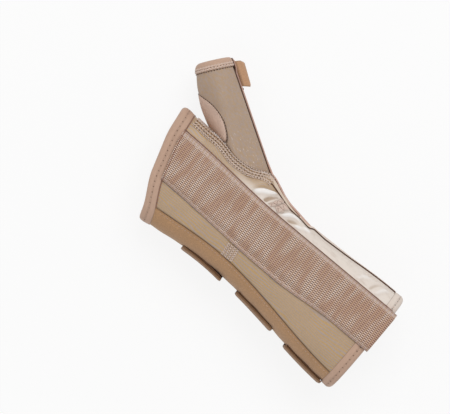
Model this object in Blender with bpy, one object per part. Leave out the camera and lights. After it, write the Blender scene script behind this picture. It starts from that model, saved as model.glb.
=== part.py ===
"""Wrist and thumb splint: a soft sleeve with a stay pocket, three straps and a thumb tab.

Metres, +Z up. The splint lies on its back with the palm face up, fingers toward +Y and thumb
toward +X. The sizes below are in the plan of the palm face. One empty carries every piece and
puts the origin at the middle of the wrist strap's rest face.
"""
import math

import bmesh
import bpy

# Sleeve
PROXIMAL_Y = -0.100
WRIST_Y = 0.018
DISTAL_Y = 0.0935
DISTAL_SLANT = 0.0122
FOREARM_WIDTH = 0.081
WRIST_WIDTH = 0.0687
PALM_WIDTH = 0.082
FOREARM_X = 0.0016
WRIST_X = 0.0073
PALM_X = 0.0063
FOREARM_TOP = 0.060
PALM_TOP = 0.043
ULNAR_POWER = 2.6
RADIAL_POWER = 3.5
WAIST_DIP = 0.0030
WAIST_DIP_FROM = -0.085
WAIST_DIP_Y = -0.022
WAIST_DIP_TO = 0.006
THENAR_FLARE = 0.0078
THENAR_FROM = 0.000
THENAR_FULL = 0.027
THENAR_NARROWED = 0.042
THENAR_NARROWED_SHARE = 0.30
THENAR_LAST = 0.062
THENAR_TO = 0.084

# Layers and seams
SKIN = 0.0016
LINING = 0.0020
GAP = 0.0004
LINING_GAP = 0.0008
SEAM_GAP = 0.0003
DISTAL_HEM = 0.010
PROXIMAL_HEM = 0.0085
EDGE_BINDING = 0.006
EDGE_BINDING_THICK = 0.0010
RADIAL_BINDING = 0.004
RADIAL_SEAM_RISE = 0.015
RADIAL_SEAM_TURN_FROM = 0.0225
RADIAL_SEAM_TURN_TO = 0.0265
LOOP_STRIP_SHOW = 0.0105
OPENING_FROM_EDGE = 0.01455
OPENING_WIDTH = 0.014

# Stay and its pocket
STAY_X = 0.014
STAY_WIDTH = 0.022
STAY_LENGTH = 0.176
STAY_THICK = 0.0016
STAY_INSET = 0.004
STAY_SIDE_CLEARANCE = 0.0007
WEBBING_THICK = 0.0014
WEBBING_ULNAR_X = -0.0026
WEBBING_RADIAL_X = 0.0305
WEBBING_SPREAD = 0.0043
WEBBING_OVERHANG = 0.0018
WEBBING_SLOPE = 0.0035
MOUTH_LIP = 0.007
MOUTH_LIP_THICK = 0.0011

# Straps
STRAP_WIDTH = 0.036
STRAP_THICK = 0.0022
STRAP_SPACING = 0.0500
STRAP_MIDDLE_Y = -0.0240
STRAP_HINGE_X = 0.000
STRAP_HINGE_GAP = 0.0012
STRAP_SEWN_X = 0.034
STRAP_END_ANGLE = math.radians(164)
STRAP_REST_FLAT = 0.0009
TAIL_LIFT = 0.0003
HOOK_THICK = 0.0012
HOOK_MARGIN = 0.0015
HOOK_START_ANGLE = math.radians(214)
HOOK_BLEND_SHARE = 0.6

# Thumb sleeve
THUMB_HOLE_Y = 0.0548
THUMB_HOLE_HALF = 0.0272
THUMB_HOLE_RISE = 0.016
THUMB_SEAM_LAP = 0.0015
THUMB_TOP_X = 0.0858
THUMB_TOP_Y = 0.1115
THUMB_TOP_RADIUS = 0.0124
THUMB_TOP_TURN = math.radians(-37.5)
THUMB_TOP_RISE = 0.002
THUMB_HEM = 0.0072
THUMB_HEM_SHARE = 0.10
WEB_BULGE = 0.0033
THUMB_BINDING_THICK = 0.0010
THUMB_LINING_EASE = 0.0001
GUSSET_BASE_ANGLE = math.radians(118)
GUSSET_WIDE_ANGLE = math.radians(100)
GUSSET_TOP_ANGLE = math.radians(176)
GUSSET_WIDE_SHARE = 0.25
GUSSET_TURN_SHARE = 0.30
GUSSET_END_SHARE = 0.57
CROWN_ANGLE = math.radians(179.4)
CROWN_SHARE = 0.66
SLIT_TURN = math.radians(16)
SLIT_BASE_ANGLE = math.radians(26)
SLIT_TOP_ANGLE = math.radians(13)
SLIT_GAP_ANGLE = math.radians(1.5)

# Thumb tab
TAB_START_SHARE = 0.735
TAB_END_SHARE = 0.915
TAB_THICK = 0.0016
TAB_ROOT_ANGLE = math.radians(11)
TAB_BULGE_ANGLE = math.radians(-16)
TAB_HOOK_ANGLE = math.radians(-52)
TAB_END_ANGLE = math.radians(-92)
TAB_BULGE = 0.0070
TAB_HOOK_THICK = 0.0010

ROWS_TO_WAIST = 3
ROWS_TO_THENAR = 2
ROWS_TO_BINDING_END = 3
BINDING_ROWS = 1 + ROWS_TO_WAIST + ROWS_TO_THENAR + ROWS_TO_BINDING_END
BOTTOM_Z = GAP + STRAP_THICK - STRAP_REST_FLAT
LINING_OUT = -SKIN - LINING_GAP
LINING_IN = LINING_OUT - LINING
ORIGIN_X = 0.014
OPENING_X = WRIST_X - WRIST_WIDTH / 2 + OPENING_FROM_EDGE


def lerp(first, second, share):
    return first + (second - first) * share


def ease(start, end, value):
    """Smooth step from 0 at start to 1 at end."""
    share = min(max((value - start) / (end - start), 0.0), 1.0)
    return share * share * (3.0 - 2.0 * share)


def signed_power(value, power):
    return math.copysign(abs(value) ** power, value)


def steps(count):
    return [index / count for index in range(count + 1)]


# Sleeve surface
def top_at(y):
    """Height of the palm face's straight ridge, which the stay lies along."""
    return lerp(FOREARM_TOP, PALM_TOP, (y - PROXIMAL_Y) / (DISTAL_Y - PROXIMAL_Y))


def section(y):
    """Centre and half sizes of the sleeve's cross-section: x, half width, z, half depth."""
    if y < WRIST_Y:
        share = ease(PROXIMAL_Y, WRIST_Y, y)
        middle = lerp(FOREARM_X, WRIST_X, share)
        width = lerp(FOREARM_WIDTH, WRIST_WIDTH, share)
    else:
        share = ease(WRIST_Y, DISTAL_Y + DISTAL_SLANT, y)
        middle = lerp(WRIST_X, PALM_X, share)
        width = lerp(WRIST_WIDTH, PALM_WIDTH, share)
    top = top_at(y)
    return middle, width / 2, (top + BOTTOM_Z) / 2, (top - BOTTOM_Z) / 2


def radial_flare(y):
    """How much farther out the radial side runs: in at the waist, out at the thumb's base."""
    dip = ease(WAIST_DIP_FROM, WAIST_DIP_Y, y) * (1 - ease(WAIST_DIP_Y, WAIST_DIP_TO, y))
    swell = ease(THENAR_FROM, THENAR_FULL, y) * (1 - ease(THENAR_LAST, THENAR_TO, y))
    narrowed = lerp(1.0, THENAR_NARROWED_SHARE, ease(THENAR_FULL, THENAR_NARROWED, y))
    return THENAR_FLARE * swell * narrowed - WAIST_DIP * dip


def power_at(angle):
    return RADIAL_POWER if math.cos(angle) > 0 else ULNAR_POWER


def sleeve_point(y, angle, layer):
    """Point on the superellipse section; layer is the distance outside the skin's face."""
    middle, half, centre, depth = section(y)
    power = 2.0 / power_at(angle)
    reach = half + layer + (radial_flare(y) if math.cos(angle) > 0 else 0.0)
    x = middle + reach * signed_power(math.cos(angle), power)
    z = centre + (depth + layer) * signed_power(math.sin(angle), power)
    return x, y, z


def angle_at_x(x, y, layer, side):
    """Section angle at a plan position, on the palm (side 1) or the back (side -1)."""
    middle, half, _, _ = section(y)
    reach = half + layer + (radial_flare(y) if x > middle else 0.0)
    share = (x - middle) / reach
    power = RADIAL_POWER if share > 0 else ULNAR_POWER
    return side * math.acos(signed_power(share, power / 2))


def angle_at_rise(rise, y):
    """Section angle on the radial side at a height above the section's centre."""
    depth = section(y)[3]
    return math.asin(signed_power(rise / depth, RADIAL_POWER / 2))


def distal_edge(angle):
    return DISTAL_Y + DISTAL_SLANT * signed_power(math.cos(angle), 2.0 / power_at(angle))


def hole_rise(y, grow):
    """Half height of the lens-shaped thumb hole, grown by a margin."""
    across = (y - THUMB_HOLE_Y) / (THUMB_HOLE_HALF + grow)
    return max((THUMB_HOLE_RISE + grow) * (1 - across * across), 0.0)


def radial_seam(y):
    turn = ease(RADIAL_SEAM_TURN_FROM, RADIAL_SEAM_TURN_TO, y)
    return RADIAL_SEAM_RISE * (1 - turn)


def palm_radial_edge(y):
    rise = max(radial_seam(y), hole_rise(y, -THUMB_SEAM_LAP))
    return angle_at_rise(rise + SEAM_GAP, y)


def back_radial_edge(y):
    hole = hole_rise(y, -THUMB_SEAM_LAP)
    rise = -hole if hole > 0 else radial_seam(y)
    return angle_at_rise(rise - SEAM_GAP, y)


def palm_middle(y, shift):
    return angle_at_x(STAY_X + shift, y, 0.0, 1)


def ulnar_seam(y, shift):
    middle, half, _, _ = section(y)
    return angle_at_x(middle - half + LOOP_STRIP_SHOW + shift, y, 0.0, 1)


def opening_ulnar(y, inset):
    return 2 * math.pi + angle_at_x(OPENING_X - OPENING_WIDTH / 2 - inset, y, 0.0, -1)


def opening_radial(y, inset):
    return angle_at_x(OPENING_X + OPENING_WIDTH / 2 + inset, y, 0.0, -1)


# Building
def make_material(name, colour, roughness, metallic=0.0):
    material = bpy.data.materials.new(name)
    material.use_nodes = True
    shader = material.node_tree.nodes["Principled BSDF"]
    shader.inputs["Base Color"].default_value = (*colour, 1.0)
    shader.inputs["Roughness"].default_value = roughness
    shader.inputs["Metallic"].default_value = metallic
    return material


def add_object(name, mesh, material, parent, pivot):
    """Object with its origin on the pivot, carried by the parent empty."""
    for vertex in mesh.vertices:
        vertex.co = [vertex.co[axis] - pivot[axis] for axis in range(3)]
    mesh.materials.append(material)
    mesh.shade_smooth()
    mesh.set_sharp_from_angle(angle=math.radians(40))
    item = bpy.data.objects.new(name, mesh)
    item.location = pivot
    item.parent = parent
    bpy.context.scene.collection.objects.link(item)
    return item


def shell(name, rows, columns, place, material, parent, pivot=(0.0, 0.0, 0.0)):
    """Closed sheet of cloth: place(row, column, face) gives its inner (0) and outer (1) points."""
    mesh = bpy.data.meshes.new(name)
    build = bmesh.new()
    wide = len(columns)
    last = len(rows) - 1
    grids = []
    for face in (0, 1):
        grids.append([build.verts.new(place(row, column, face)) for row in rows for column in columns])
    inner, outer = grids
    for i in range(last):
        for j in range(wide - 1):
            corners = (i * wide + j, i * wide + j + 1, (i + 1) * wide + j + 1, (i + 1) * wide + j)
            build.faces.new([outer[k] for k in corners])
            build.faces.new([inner[k] for k in reversed(corners)])
    rim = list(range(wide))
    rim += [i * wide + wide - 1 for i in range(1, last + 1)]
    rim += [last * wide + j for j in range(wide - 2, -1, -1)]
    rim += [i * wide for i in range(last - 1, 0, -1)]
    for here, after in zip(rim, rim[1:] + rim[:1]):
        build.faces.new((inner[here], inner[after], outer[after], outer[here]))
    bmesh.ops.recalc_face_normals(build, faces=build.faces[:])
    build.to_mesh(mesh)
    build.free()
    return add_object(name, mesh, material, parent, pivot)


# Panels of the sleeve
def panel_rows():
    """Shares of the panel's length, closer together at the waist and beside the thumb hole."""
    start = PROXIMAL_Y + PROXIMAL_HEM
    length = distal_edge(0.0) - DISTAL_HEM - start
    hole = THUMB_HOLE_Y - THUMB_HOLE_HALF
    stations = [lerp(start, WAIST_DIP_Y, share) for share in steps(ROWS_TO_WAIST)]
    stations += [lerp(WAIST_DIP_Y, THENAR_FROM, share) for share in steps(ROWS_TO_THENAR)[1:]]
    stations += [lerp(THENAR_FROM, hole - RADIAL_BINDING, share) for share in steps(ROWS_TO_BINDING_END)[1:]]
    stations += [hole + 2 * THUMB_HOLE_HALF * share for share in steps(9)]
    return [(y - start) / length for y in stations] + [1.0]


def panel(name, first, second, columns, layers, material, parent, from_end=False, rows=None):
    """Sheet between two section angles, each a function of y, from hem to hem or from end to end."""
    def place(row, column, face):
        y = 0.0
        angle = 0.0
        for _ in range(5):
            start = PROXIMAL_Y + PROXIMAL_HEM + GAP
            end = distal_edge(angle) - DISTAL_HEM - GAP
            y = lerp(start, end, row)
            if from_end and row == 0.0:
                y = PROXIMAL_Y
            if from_end and row == 1.0:
                y = distal_edge(angle)
            angle = lerp(first(y), second(y), column)
        return sleeve_point(y, angle, layers[face])

    return shell(name, rows or panel_rows(), steps(columns), place, material, parent)


def build_panels(looks, parent):
    skin = (-SKIN, 0.0)
    lining = (LINING_IN, LINING_OUT)
    gap = SEAM_GAP / 2
    bound = EDGE_BINDING + SEAM_GAP
    panel("volar_panel_radial", palm_radial_edge, lambda y: palm_middle(y, gap), 9, skin,
          looks["cream"], parent)
    panel("volar_panel_ulnar", lambda y: palm_middle(y, -gap), lambda y: ulnar_seam(y, gap), 7, skin,
          looks["khaki"], parent)
    panel("ulnar_loop_strip", lambda y: ulnar_seam(y, -gap), lambda y: opening_ulnar(y, bound), 10, skin,
          looks["tan"], parent)
    panel("opening_binding_ulnar", lambda y: opening_ulnar(y, EDGE_BINDING),
          lambda y: opening_ulnar(y, 0.0), 2, skin, looks["binding"], parent)
    panel("opening_binding_radial", lambda y: opening_radial(y, 0.0),
          lambda y: opening_radial(y, EDGE_BINDING), 2, skin, looks["binding"], parent)
    panel("dorsal_panel", lambda y: opening_radial(y, bound), back_radial_edge, 16, skin,
          looks["khaki"], parent)
    panel("lining_volar", palm_radial_edge, lambda y: opening_ulnar(y, 0.0), 26, lining,
          looks["lining"], parent, from_end=True)
    panel("lining_dorsal", lambda y: opening_radial(y, 0.0), back_radial_edge, 16, lining,
          looks["lining"], parent, from_end=True)


def build_hems(looks, parent):
    def hem(name, start, end):
        def place(row, column, face):
            y = DISTAL_Y
            angle = 0.0
            for _ in range(5):
                angle = lerp(opening_radial(y, 0.0), opening_ulnar(y, 0.0), column)
                y = lerp(start(angle), end(angle), row)
            return sleeve_point(y, angle, (-SKIN, 0.0)[face])
        shell(name, steps(1), steps(48), place, looks["binding"], parent)

    hem("distal_hem", lambda angle: distal_edge(angle) - DISTAL_HEM, distal_edge)
    hem("proximal_hem", lambda angle: PROXIMAL_Y, lambda angle: PROXIMAL_Y + PROXIMAL_HEM)


def build_radial_binding(looks, parent):
    """Binding over the radial seam, up to one binding's width short of the thumb hole."""
    layers = (GAP, GAP + EDGE_BINDING_THICK)
    rows = panel_rows()[:BINDING_ROWS]
    panel("radial_edge_binding", lambda y: angle_at_rise(radial_seam(y) - RADIAL_BINDING, y),
          lambda y: angle_at_rise(radial_seam(y), y), 3, layers, looks["peach"], parent, rows=rows)


# Stay and its pocket
def build_webbing(looks, parent):
    seat = STAY_WIDTH / 2 + STAY_SIDE_CLEARANCE
    foot = seat + WEBBING_SLOPE
    start = PROXIMAL_Y - WEBBING_OVERHANG
    lip_end = MOUTH_LIP + WEBBING_THICK
    rows = [0.0, MOUTH_LIP, lip_end]
    rows += [lerp(lip_end, STAY_LENGTH, share) for share in steps(14)[1:]]
    rows.append(DISTAL_Y - DISTAL_HEM - start)
    across = [-1, -0.6, -0.2, 0.2, 0.6, 1]

    def stations(y):
        """Plan positions across the tape: selvedge, slope, flat over the stay, slope, selvedge."""
        radial = WEBBING_RADIAL_X + WEBBING_SPREAD * ease(0.0, DISTAL_Y, y)
        slope = [foot, lerp(foot, seat, 0.5)]
        flat = [STAY_X + seat * share for share in across]
        ulnar_side = [WEBBING_ULNAR_X] + [STAY_X - reach for reach in slope]
        return ulnar_side + flat + [STAY_X + reach for reach in reversed(slope)] + [radial]

    def place(row, column, face):
        y = start + row
        x = stations(y)[column]
        end = distal_edge(angle_at_x(x, DISTAL_Y, 0.0, 1)) - DISTAL_HEM - GAP
        if row == rows[-1]:
            y = end
            x = stations(y)[column]
        y = min(y, end)
        raised = 1 - ease(seat, foot, abs(x - STAY_X))
        sewn = sleeve_point(y, angle_at_x(x, y, GAP, 1), GAP)[2]
        z = lerp(sewn, top_at(y) + GAP + STAY_THICK + GAP, raised)
        if face:
            z += WEBBING_THICK + MOUTH_LIP_THICK * (1 - ease(MOUTH_LIP, lip_end, row))
        return x, y, z

    columns = range(len(stations(0.0)))
    shell("stay_pocket_webbing", rows, columns, place, looks["webbing"], parent)


def build_stay(looks, parent):
    """Flat bar with round ends, tilted with the ridge that it lies along."""
    half = STAY_WIDTH / 2
    start = PROXIMAL_Y + STAY_INSET
    outline = []
    for end, turn in ((start + STAY_LENGTH - half, 0.0), (start + half, math.pi)):
        for share in steps(10):
            angle = turn + math.pi * share
            outline.append((STAY_X + half * math.cos(angle), end + half * math.sin(angle)))
    mesh = bpy.data.meshes.new("volar_stay")
    build = bmesh.new()
    lower = [build.verts.new((x, y, top_at(y) + GAP)) for x, y in outline]
    upper = [build.verts.new((x, y, top_at(y) + GAP + STAY_THICK)) for x, y in outline]
    build.faces.new(lower)
    build.faces.new(upper)
    for here in range(len(outline)):
        build.faces.new((lower[here - 1], lower[here], upper[here], upper[here - 1]))
    bmesh.ops.recalc_face_normals(build, faces=build.faces[:])
    build.to_mesh(mesh)
    build.free()
    add_object("volar_stay", mesh, looks["metal"], parent, (STAY_X, start, top_at(start) + GAP))


# Straps
def strap_angle(x, y, layer):
    return 2 * math.pi + angle_at_x(x, y, layer, -1)


def build_strap(label, middle, looks, parent):
    start = middle - STRAP_WIDTH / 2
    pivot = (STRAP_HINGE_X, middle, 0.0)
    rows = steps(3)

    def base(row, column, face):
        y = start + STRAP_WIDTH * row
        layer = GAP + STRAP_THICK * face
        x = lerp(STRAP_HINGE_X + STRAP_HINGE_GAP / 2, STRAP_SEWN_X, column)
        point = sleeve_point(y, strap_angle(x, y, layer), layer)
        return point[0], y, max(point[2], 0.0)

    def under_tail(angle):
        away = 1 - ease(HOOK_START_ANGLE, lerp(HOOK_START_ANGLE, 1.5 * math.pi, HOOK_BLEND_SHARE), angle)
        return GAP + (HOOK_THICK + GAP) * away

    def tail(row, column, face):
        y = start + STRAP_WIDTH * row
        first = strap_angle(STRAP_HINGE_X - STRAP_HINGE_GAP / 2, y, STRAP_THICK * face)
        angle = lerp(first, STRAP_END_ANGLE, column)
        point = sleeve_point(y, angle, under_tail(angle) + STRAP_THICK * face)
        return min(point[0], STRAP_HINGE_X - STRAP_HINGE_GAP / 2), y, max(point[2], TAIL_LIFT)

    def hook(row, column, face):
        y = start + HOOK_MARGIN + (STRAP_WIDTH - 2 * HOOK_MARGIN) * row
        angle = lerp(HOOK_START_ANGLE, STRAP_END_ANGLE + HOOK_MARGIN / WRIST_WIDTH, column)
        return sleeve_point(y, angle, GAP + HOOK_THICK * face)

    shell("strap_base_" + label, rows, steps(10), base, looks["strap"], parent)
    shell("strap_tail_" + label, rows, steps(20), tail, looks["strap"], parent, pivot)
    shell("strap_hook_" + label, rows, steps(10), hook, looks["hook"], parent, pivot)


# Thumb sleeve
def thumb_point(share, angle, layer):
    """Line from the hole's lens-shaped rim (share 0) to the round top (share 1), fuller at the web."""
    y = THUMB_HOLE_Y - (THUMB_HOLE_HALF + layer) * math.cos(angle)
    rise = (THUMB_HOLE_RISE + layer) * signed_power(math.sin(angle), 2)
    rim = sleeve_point(y, angle_at_rise(rise, y), GAP)
    radius = THUMB_TOP_RADIUS + layer
    middle = section(THUMB_HOLE_Y)[2] + THUMB_TOP_RISE
    top = (THUMB_TOP_X + radius * math.cos(angle) * math.cos(THUMB_TOP_TURN),
           THUMB_TOP_Y + radius * math.cos(angle) * math.sin(THUMB_TOP_TURN),
           middle + radius * math.sin(angle))
    point = [lerp(rim[axis], top[axis], share) for axis in range(3)]
    bulge = WEB_BULGE * 4 * share * (1 - share) * max(-math.cos(angle), 0.0) ** 2
    point[0] -= bulge * math.cos(THUMB_TOP_TURN)
    point[1] -= bulge * math.sin(THUMB_TOP_TURN)
    return point


def gusset_angle(share):
    """Seam of the leaf-shaped web gusset, which closes into one seam on the inner side."""
    below = max(1 - share / GUSSET_WIDE_SHARE, 0.0)
    above = min(max(share - GUSSET_TURN_SHARE, 0.0) / (GUSSET_END_SHARE - GUSSET_TURN_SHARE), 1.0)
    angle = GUSSET_WIDE_ANGLE + (GUSSET_BASE_ANGLE - GUSSET_WIDE_ANGLE) * below ** 2
    angle += (GUSSET_TOP_ANGLE - GUSSET_WIDE_ANGLE) * above ** 2
    return lerp(angle, CROWN_ANGLE, ease(GUSSET_END_SHARE, CROWN_SHARE, share))


def even_hem(share, angle):
    """Share moved so that the hem, from 1 - THUMB_HEM_SHARE up, is equally wide all round."""
    start = 1 - THUMB_HEM_SHARE
    line = math.dist(thumb_point(0.0, angle, 0.0), thumb_point(1.0, angle, 0.0))
    hem = 1 - THUMB_HEM / line
    if share > start:
        return lerp(hem, 1.0, (share - start) / THUMB_HEM_SHARE)
    if share > GUSSET_END_SHARE:
        return lerp(GUSSET_END_SHARE, hem, (share - GUSSET_END_SHARE) / (start - GUSSET_END_SHARE))
    return share


def slit_angle(share):
    return lerp(SLIT_BASE_ANGLE, SLIT_TOP_ANGLE, share)


def seam_turn(share):
    """Angle that one seam gap takes up round the thumb."""
    return SEAM_GAP / lerp(THUMB_HOLE_RISE, THUMB_TOP_RADIUS, share)


def thumb_sheet(name, first, second, columns, rows, layers, material, parent):
    def place(row, column, face):
        angle = lerp(first(row), second(row), column)
        return thumb_point(even_hem(row, angle), angle, layers[face])

    return shell(name, rows, steps(columns), place, material, parent)


def build_thumb(looks, parent):
    skin = (-SKIN, 0.0)
    full = 2 * math.pi
    start = SLIT_TURN + SLIT_GAP_ANGLE
    end = full + SLIT_TURN - SLIT_GAP_ANGLE
    hem_start = 1 - THUMB_HEM_SHARE
    web = [GUSSET_END_SHARE * share for share in steps(8)]
    body = web + [lerp(GUSSET_END_SHARE, hem_start - GAP / THUMB_HOLE_Y, share) for share in steps(3)[1:]]
    hem = [hem_start, lerp(hem_start, 1.0, 0.5), 1.0]
    thumb_sheet("thumb_front_panel", lambda s: start, gusset_angle, 12, body, skin, looks["thumb"], parent)
    thumb_sheet("thumb_web_gusset", lambda s: gusset_angle(s) + 2 * seam_turn(s),
                lambda s: full - gusset_angle(s) - 2 * seam_turn(s), 10, web, skin,
                looks["gusset"], parent)
    thumb_sheet("thumb_back_panel", lambda s: full - gusset_angle(s),
                lambda s: full + SLIT_TURN - slit_angle(s) - 2 * seam_turn(s), 12, body, skin,
                looks["thumb"], parent)
    thumb_sheet("thumb_slit_binding", lambda s: full + SLIT_TURN - slit_angle(s), lambda s: end, 4,
                body, (-SKIN, THUMB_BINDING_THICK), looks["peach"], parent)
    thumb_sheet("thumb_hem", lambda s: start, lambda s: end, 28, hem, skin, looks["binding"], parent)
    thumb_sheet("thumb_lining", lambda s: start, lambda s: end, 28, web[::2] + body[9:] + [1.0],
                (LINING_IN - THUMB_LINING_EASE, LINING_OUT - THUMB_LINING_EASE), looks["lining"], parent)


def build_tab(looks, parent):
    """Tab sewn at the slit's binding: it bulges off the edge and hooks down on the back."""
    root = THUMB_BINDING_THICK + GAP
    seat = GAP + TAB_HOOK_THICK + GAP

    def under(angle):
        out = ease(TAB_ROOT_ANGLE, TAB_BULGE_ANGLE, angle)
        back = ease(TAB_BULGE_ANGLE, TAB_HOOK_ANGLE, angle)
        return lerp(lerp(root, TAB_BULGE, out), seat, back)

    def tab(row, column, face):
        angle = lerp(TAB_ROOT_ANGLE, TAB_END_ANGLE, column)
        return thumb_point(lerp(TAB_START_SHARE, TAB_END_SHARE, row), angle, under(angle) + TAB_THICK * face)

    def hook(row, column, face):
        angle = lerp(TAB_HOOK_ANGLE, TAB_END_ANGLE, column)
        return thumb_point(lerp(TAB_START_SHARE, TAB_END_SHARE, row), angle, GAP + TAB_HOOK_THICK * face)

    pivot = thumb_point((TAB_START_SHARE + TAB_END_SHARE) / 2, TAB_ROOT_ANGLE, root + TAB_THICK)
    shell("thumb_tab", steps(4), steps(16), tab, looks["tab"], parent, pivot)
    shell("thumb_tab_hook", steps(4), steps(6), hook, looks["hook"], parent, pivot)


def main():
    for item in list(bpy.data.objects):
        bpy.data.objects.remove(item, do_unlink=True)
    looks = {
        "khaki": make_material("khaki_sateen", (0.42, 0.33, 0.21), 0.7),
        "cream": make_material("cream_satin", (0.62, 0.53, 0.38), 0.5),
        "tan": make_material("tan_brushed_loop", (0.38, 0.26, 0.16), 0.95),
        "binding": make_material("beige_binding", (0.47, 0.34, 0.25), 0.8),
        "peach": make_material("peach_binding", (0.50, 0.31, 0.24), 0.8),
        "lining": make_material("pale_flannel", (0.78, 0.74, 0.66), 0.95),
        "webbing": make_material("rosy_webbing", (0.36, 0.23, 0.17), 0.75),
        "metal": make_material("aluminium", (0.75, 0.76, 0.77), 0.35, 1.0),
        "strap": make_material("brown_strap", (0.27, 0.16, 0.09), 0.85),
        "hook": make_material("brown_hook", (0.20, 0.11, 0.06), 0.8),
        "thumb": make_material("thumb_khaki", (0.43, 0.34, 0.23), 0.7),
        "gusset": make_material("gusset_pink", (0.46, 0.32, 0.24), 0.8),
        "tab": make_material("tan_tab", (0.50, 0.33, 0.19), 0.85),
    }
    splint = bpy.data.objects.new("splint", None)
    splint.location = (-ORIGIN_X, -STRAP_MIDDLE_Y, 0.0)
    bpy.context.scene.collection.objects.link(splint)
    build_panels(looks, splint)
    build_hems(looks, splint)
    build_radial_binding(looks, splint)
    build_webbing(looks, splint)
    build_stay(looks, splint)
    for label, place in (("hand", 1), ("wrist", 0), ("forearm", -1)):
        build_strap(label, STRAP_MIDDLE_Y + STRAP_SPACING * place, looks, splint)
    build_thumb(looks, splint)
    build_tab(looks, splint)
    bpy.context.view_layer.update()


main()
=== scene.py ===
"""Dressed wrist and thumb splint: cloth, webbing, bindings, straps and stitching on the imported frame.

Metres, in the frame's own axes: fingers toward +Y, thumb toward +X, palm face up. The shapes are worked
out in the plan of the palm face and moved to the frame's origin when a mesh is made.
"""
import math

import bpy
import numpy as np
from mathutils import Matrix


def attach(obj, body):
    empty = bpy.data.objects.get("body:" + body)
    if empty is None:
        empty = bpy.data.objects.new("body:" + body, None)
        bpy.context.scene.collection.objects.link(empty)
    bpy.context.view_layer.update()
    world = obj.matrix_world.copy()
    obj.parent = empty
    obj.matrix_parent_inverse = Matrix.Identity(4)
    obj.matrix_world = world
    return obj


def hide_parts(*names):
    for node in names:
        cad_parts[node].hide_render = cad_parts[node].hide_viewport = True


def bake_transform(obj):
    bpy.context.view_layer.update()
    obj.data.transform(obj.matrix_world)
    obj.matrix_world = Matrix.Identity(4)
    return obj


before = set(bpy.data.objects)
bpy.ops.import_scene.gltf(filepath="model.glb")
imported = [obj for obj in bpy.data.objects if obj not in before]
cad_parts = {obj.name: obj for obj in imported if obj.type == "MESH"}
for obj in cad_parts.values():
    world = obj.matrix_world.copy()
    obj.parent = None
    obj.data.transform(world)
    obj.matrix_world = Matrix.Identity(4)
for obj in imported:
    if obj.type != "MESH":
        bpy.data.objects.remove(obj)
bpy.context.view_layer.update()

bl_info = {
    "name": "Wrist and thumb splint",
    "version": (1, 0, 0),
    "blender": (4, 5, 0),
    "location": "3D View > Sidebar > Splint",
    "description": "Cloth, webbing, bindings, straps and stitching of a wrist and thumb splint",
    "category": "Object",
}

# Plan point that lies at the frame's origin
ORIGIN = np.array((0.014, -0.024, 0.0))

# Sleeve
PROXIMAL_Y, WRIST_Y, DISTAL_Y, DISTAL_SLANT = -0.100, 0.018, 0.0935, 0.0122
FOREARM_WIDTH, WRIST_WIDTH, PALM_WIDTH = 0.081, 0.0687, 0.082
FOREARM_X, WRIST_X, PALM_X = 0.0016, 0.0073, 0.0063
FOREARM_TOP, PALM_TOP, BOTTOM_Z = 0.060, 0.043, 0.0017
ULNAR_POWER, RADIAL_POWER = 2.6, 3.5
WAIST_DIP, WAIST_DIP_FROM, WAIST_DIP_Y, WAIST_DIP_TO = 0.0030, -0.085, -0.022, 0.006
THENAR_FLARE, THENAR_FROM, THENAR_FULL = 0.0078, 0.000, 0.027
THENAR_NARROWED, THENAR_NARROWED_SHARE, THENAR_LAST, THENAR_TO = 0.042, 0.30, 0.062, 0.084

# Bow of the edge at the fingers: its depth, where it starts, is full and falls across, by how much, and up
DISTAL_BOW, BOW_FROM, BOW_FULL, BOW_FALL_FROM, BOW_FALL_TO, BOW_FALL = 0.0039, -0.85, -0.2, 0.40, 1.10, 0.80
BOW_RISE_FROM, BOW_RISE_TO = -0.5, 0.3

# Layers and seams
SKIN, LINING, GAP, LINING_GAP, SEAM_GAP = 0.0016, 0.0020, 0.0004, 0.0008, 0.0003
LINING_OUT = -SKIN - LINING_GAP
LINING_IN = LINING_OUT - LINING
DISTAL_HEM, PROXIMAL_HEM, EDGE_BINDING = 0.010, 0.0085, 0.006
RADIAL_BINDING_THICK, FLAP_END, FLAP_OUTER_RISE = 0.0011, 0.0284, 0.0085
RADIAL_SEAM_RISE, SEAM_TURN_FROM, SEAM_TURN_TO = 0.0125, 0.006, 0.024
STRIP_SHOW_FOREARM, STRIP_SHOW_FINGERS, OPENING_X, OPENING_WIDTH = 0.0083, 0.0130, -0.0125, 0.014
NARROW_TAPE = 0.012

# Stay pocket
STAY_X, STAY_HALF, STAY_THICK = 0.014, 0.0117, 0.0016
WEBBING_THICK, WEBBING_SLOPE, WEBBING_OVERHANG = 0.0014, 0.0035, 0.0018
WEBBING_ULNAR_X, WEBBING_RADIAL_X, WEBBING_SPREAD, WEBBING_BOW = -0.0026, 0.0305, 0.0043, 0.0031
MOUTH_LIP, MOUTH_LIP_THICK = 0.007, 0.0011

# Straps
STRAP_WIDTH, STRAP_THICK, STRAP_HINGE_GAP, STRAP_SEWN_X = 0.036, 0.0022, 0.0012, 0.034
STRAP_PLACES = {"hand": 0.026, "wrist": -0.024, "forearm": -0.074}
HOOK_THICK, HOOK_MARGIN, TAIL_LIFT = 0.0012, 0.0015, 0.0003

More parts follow.
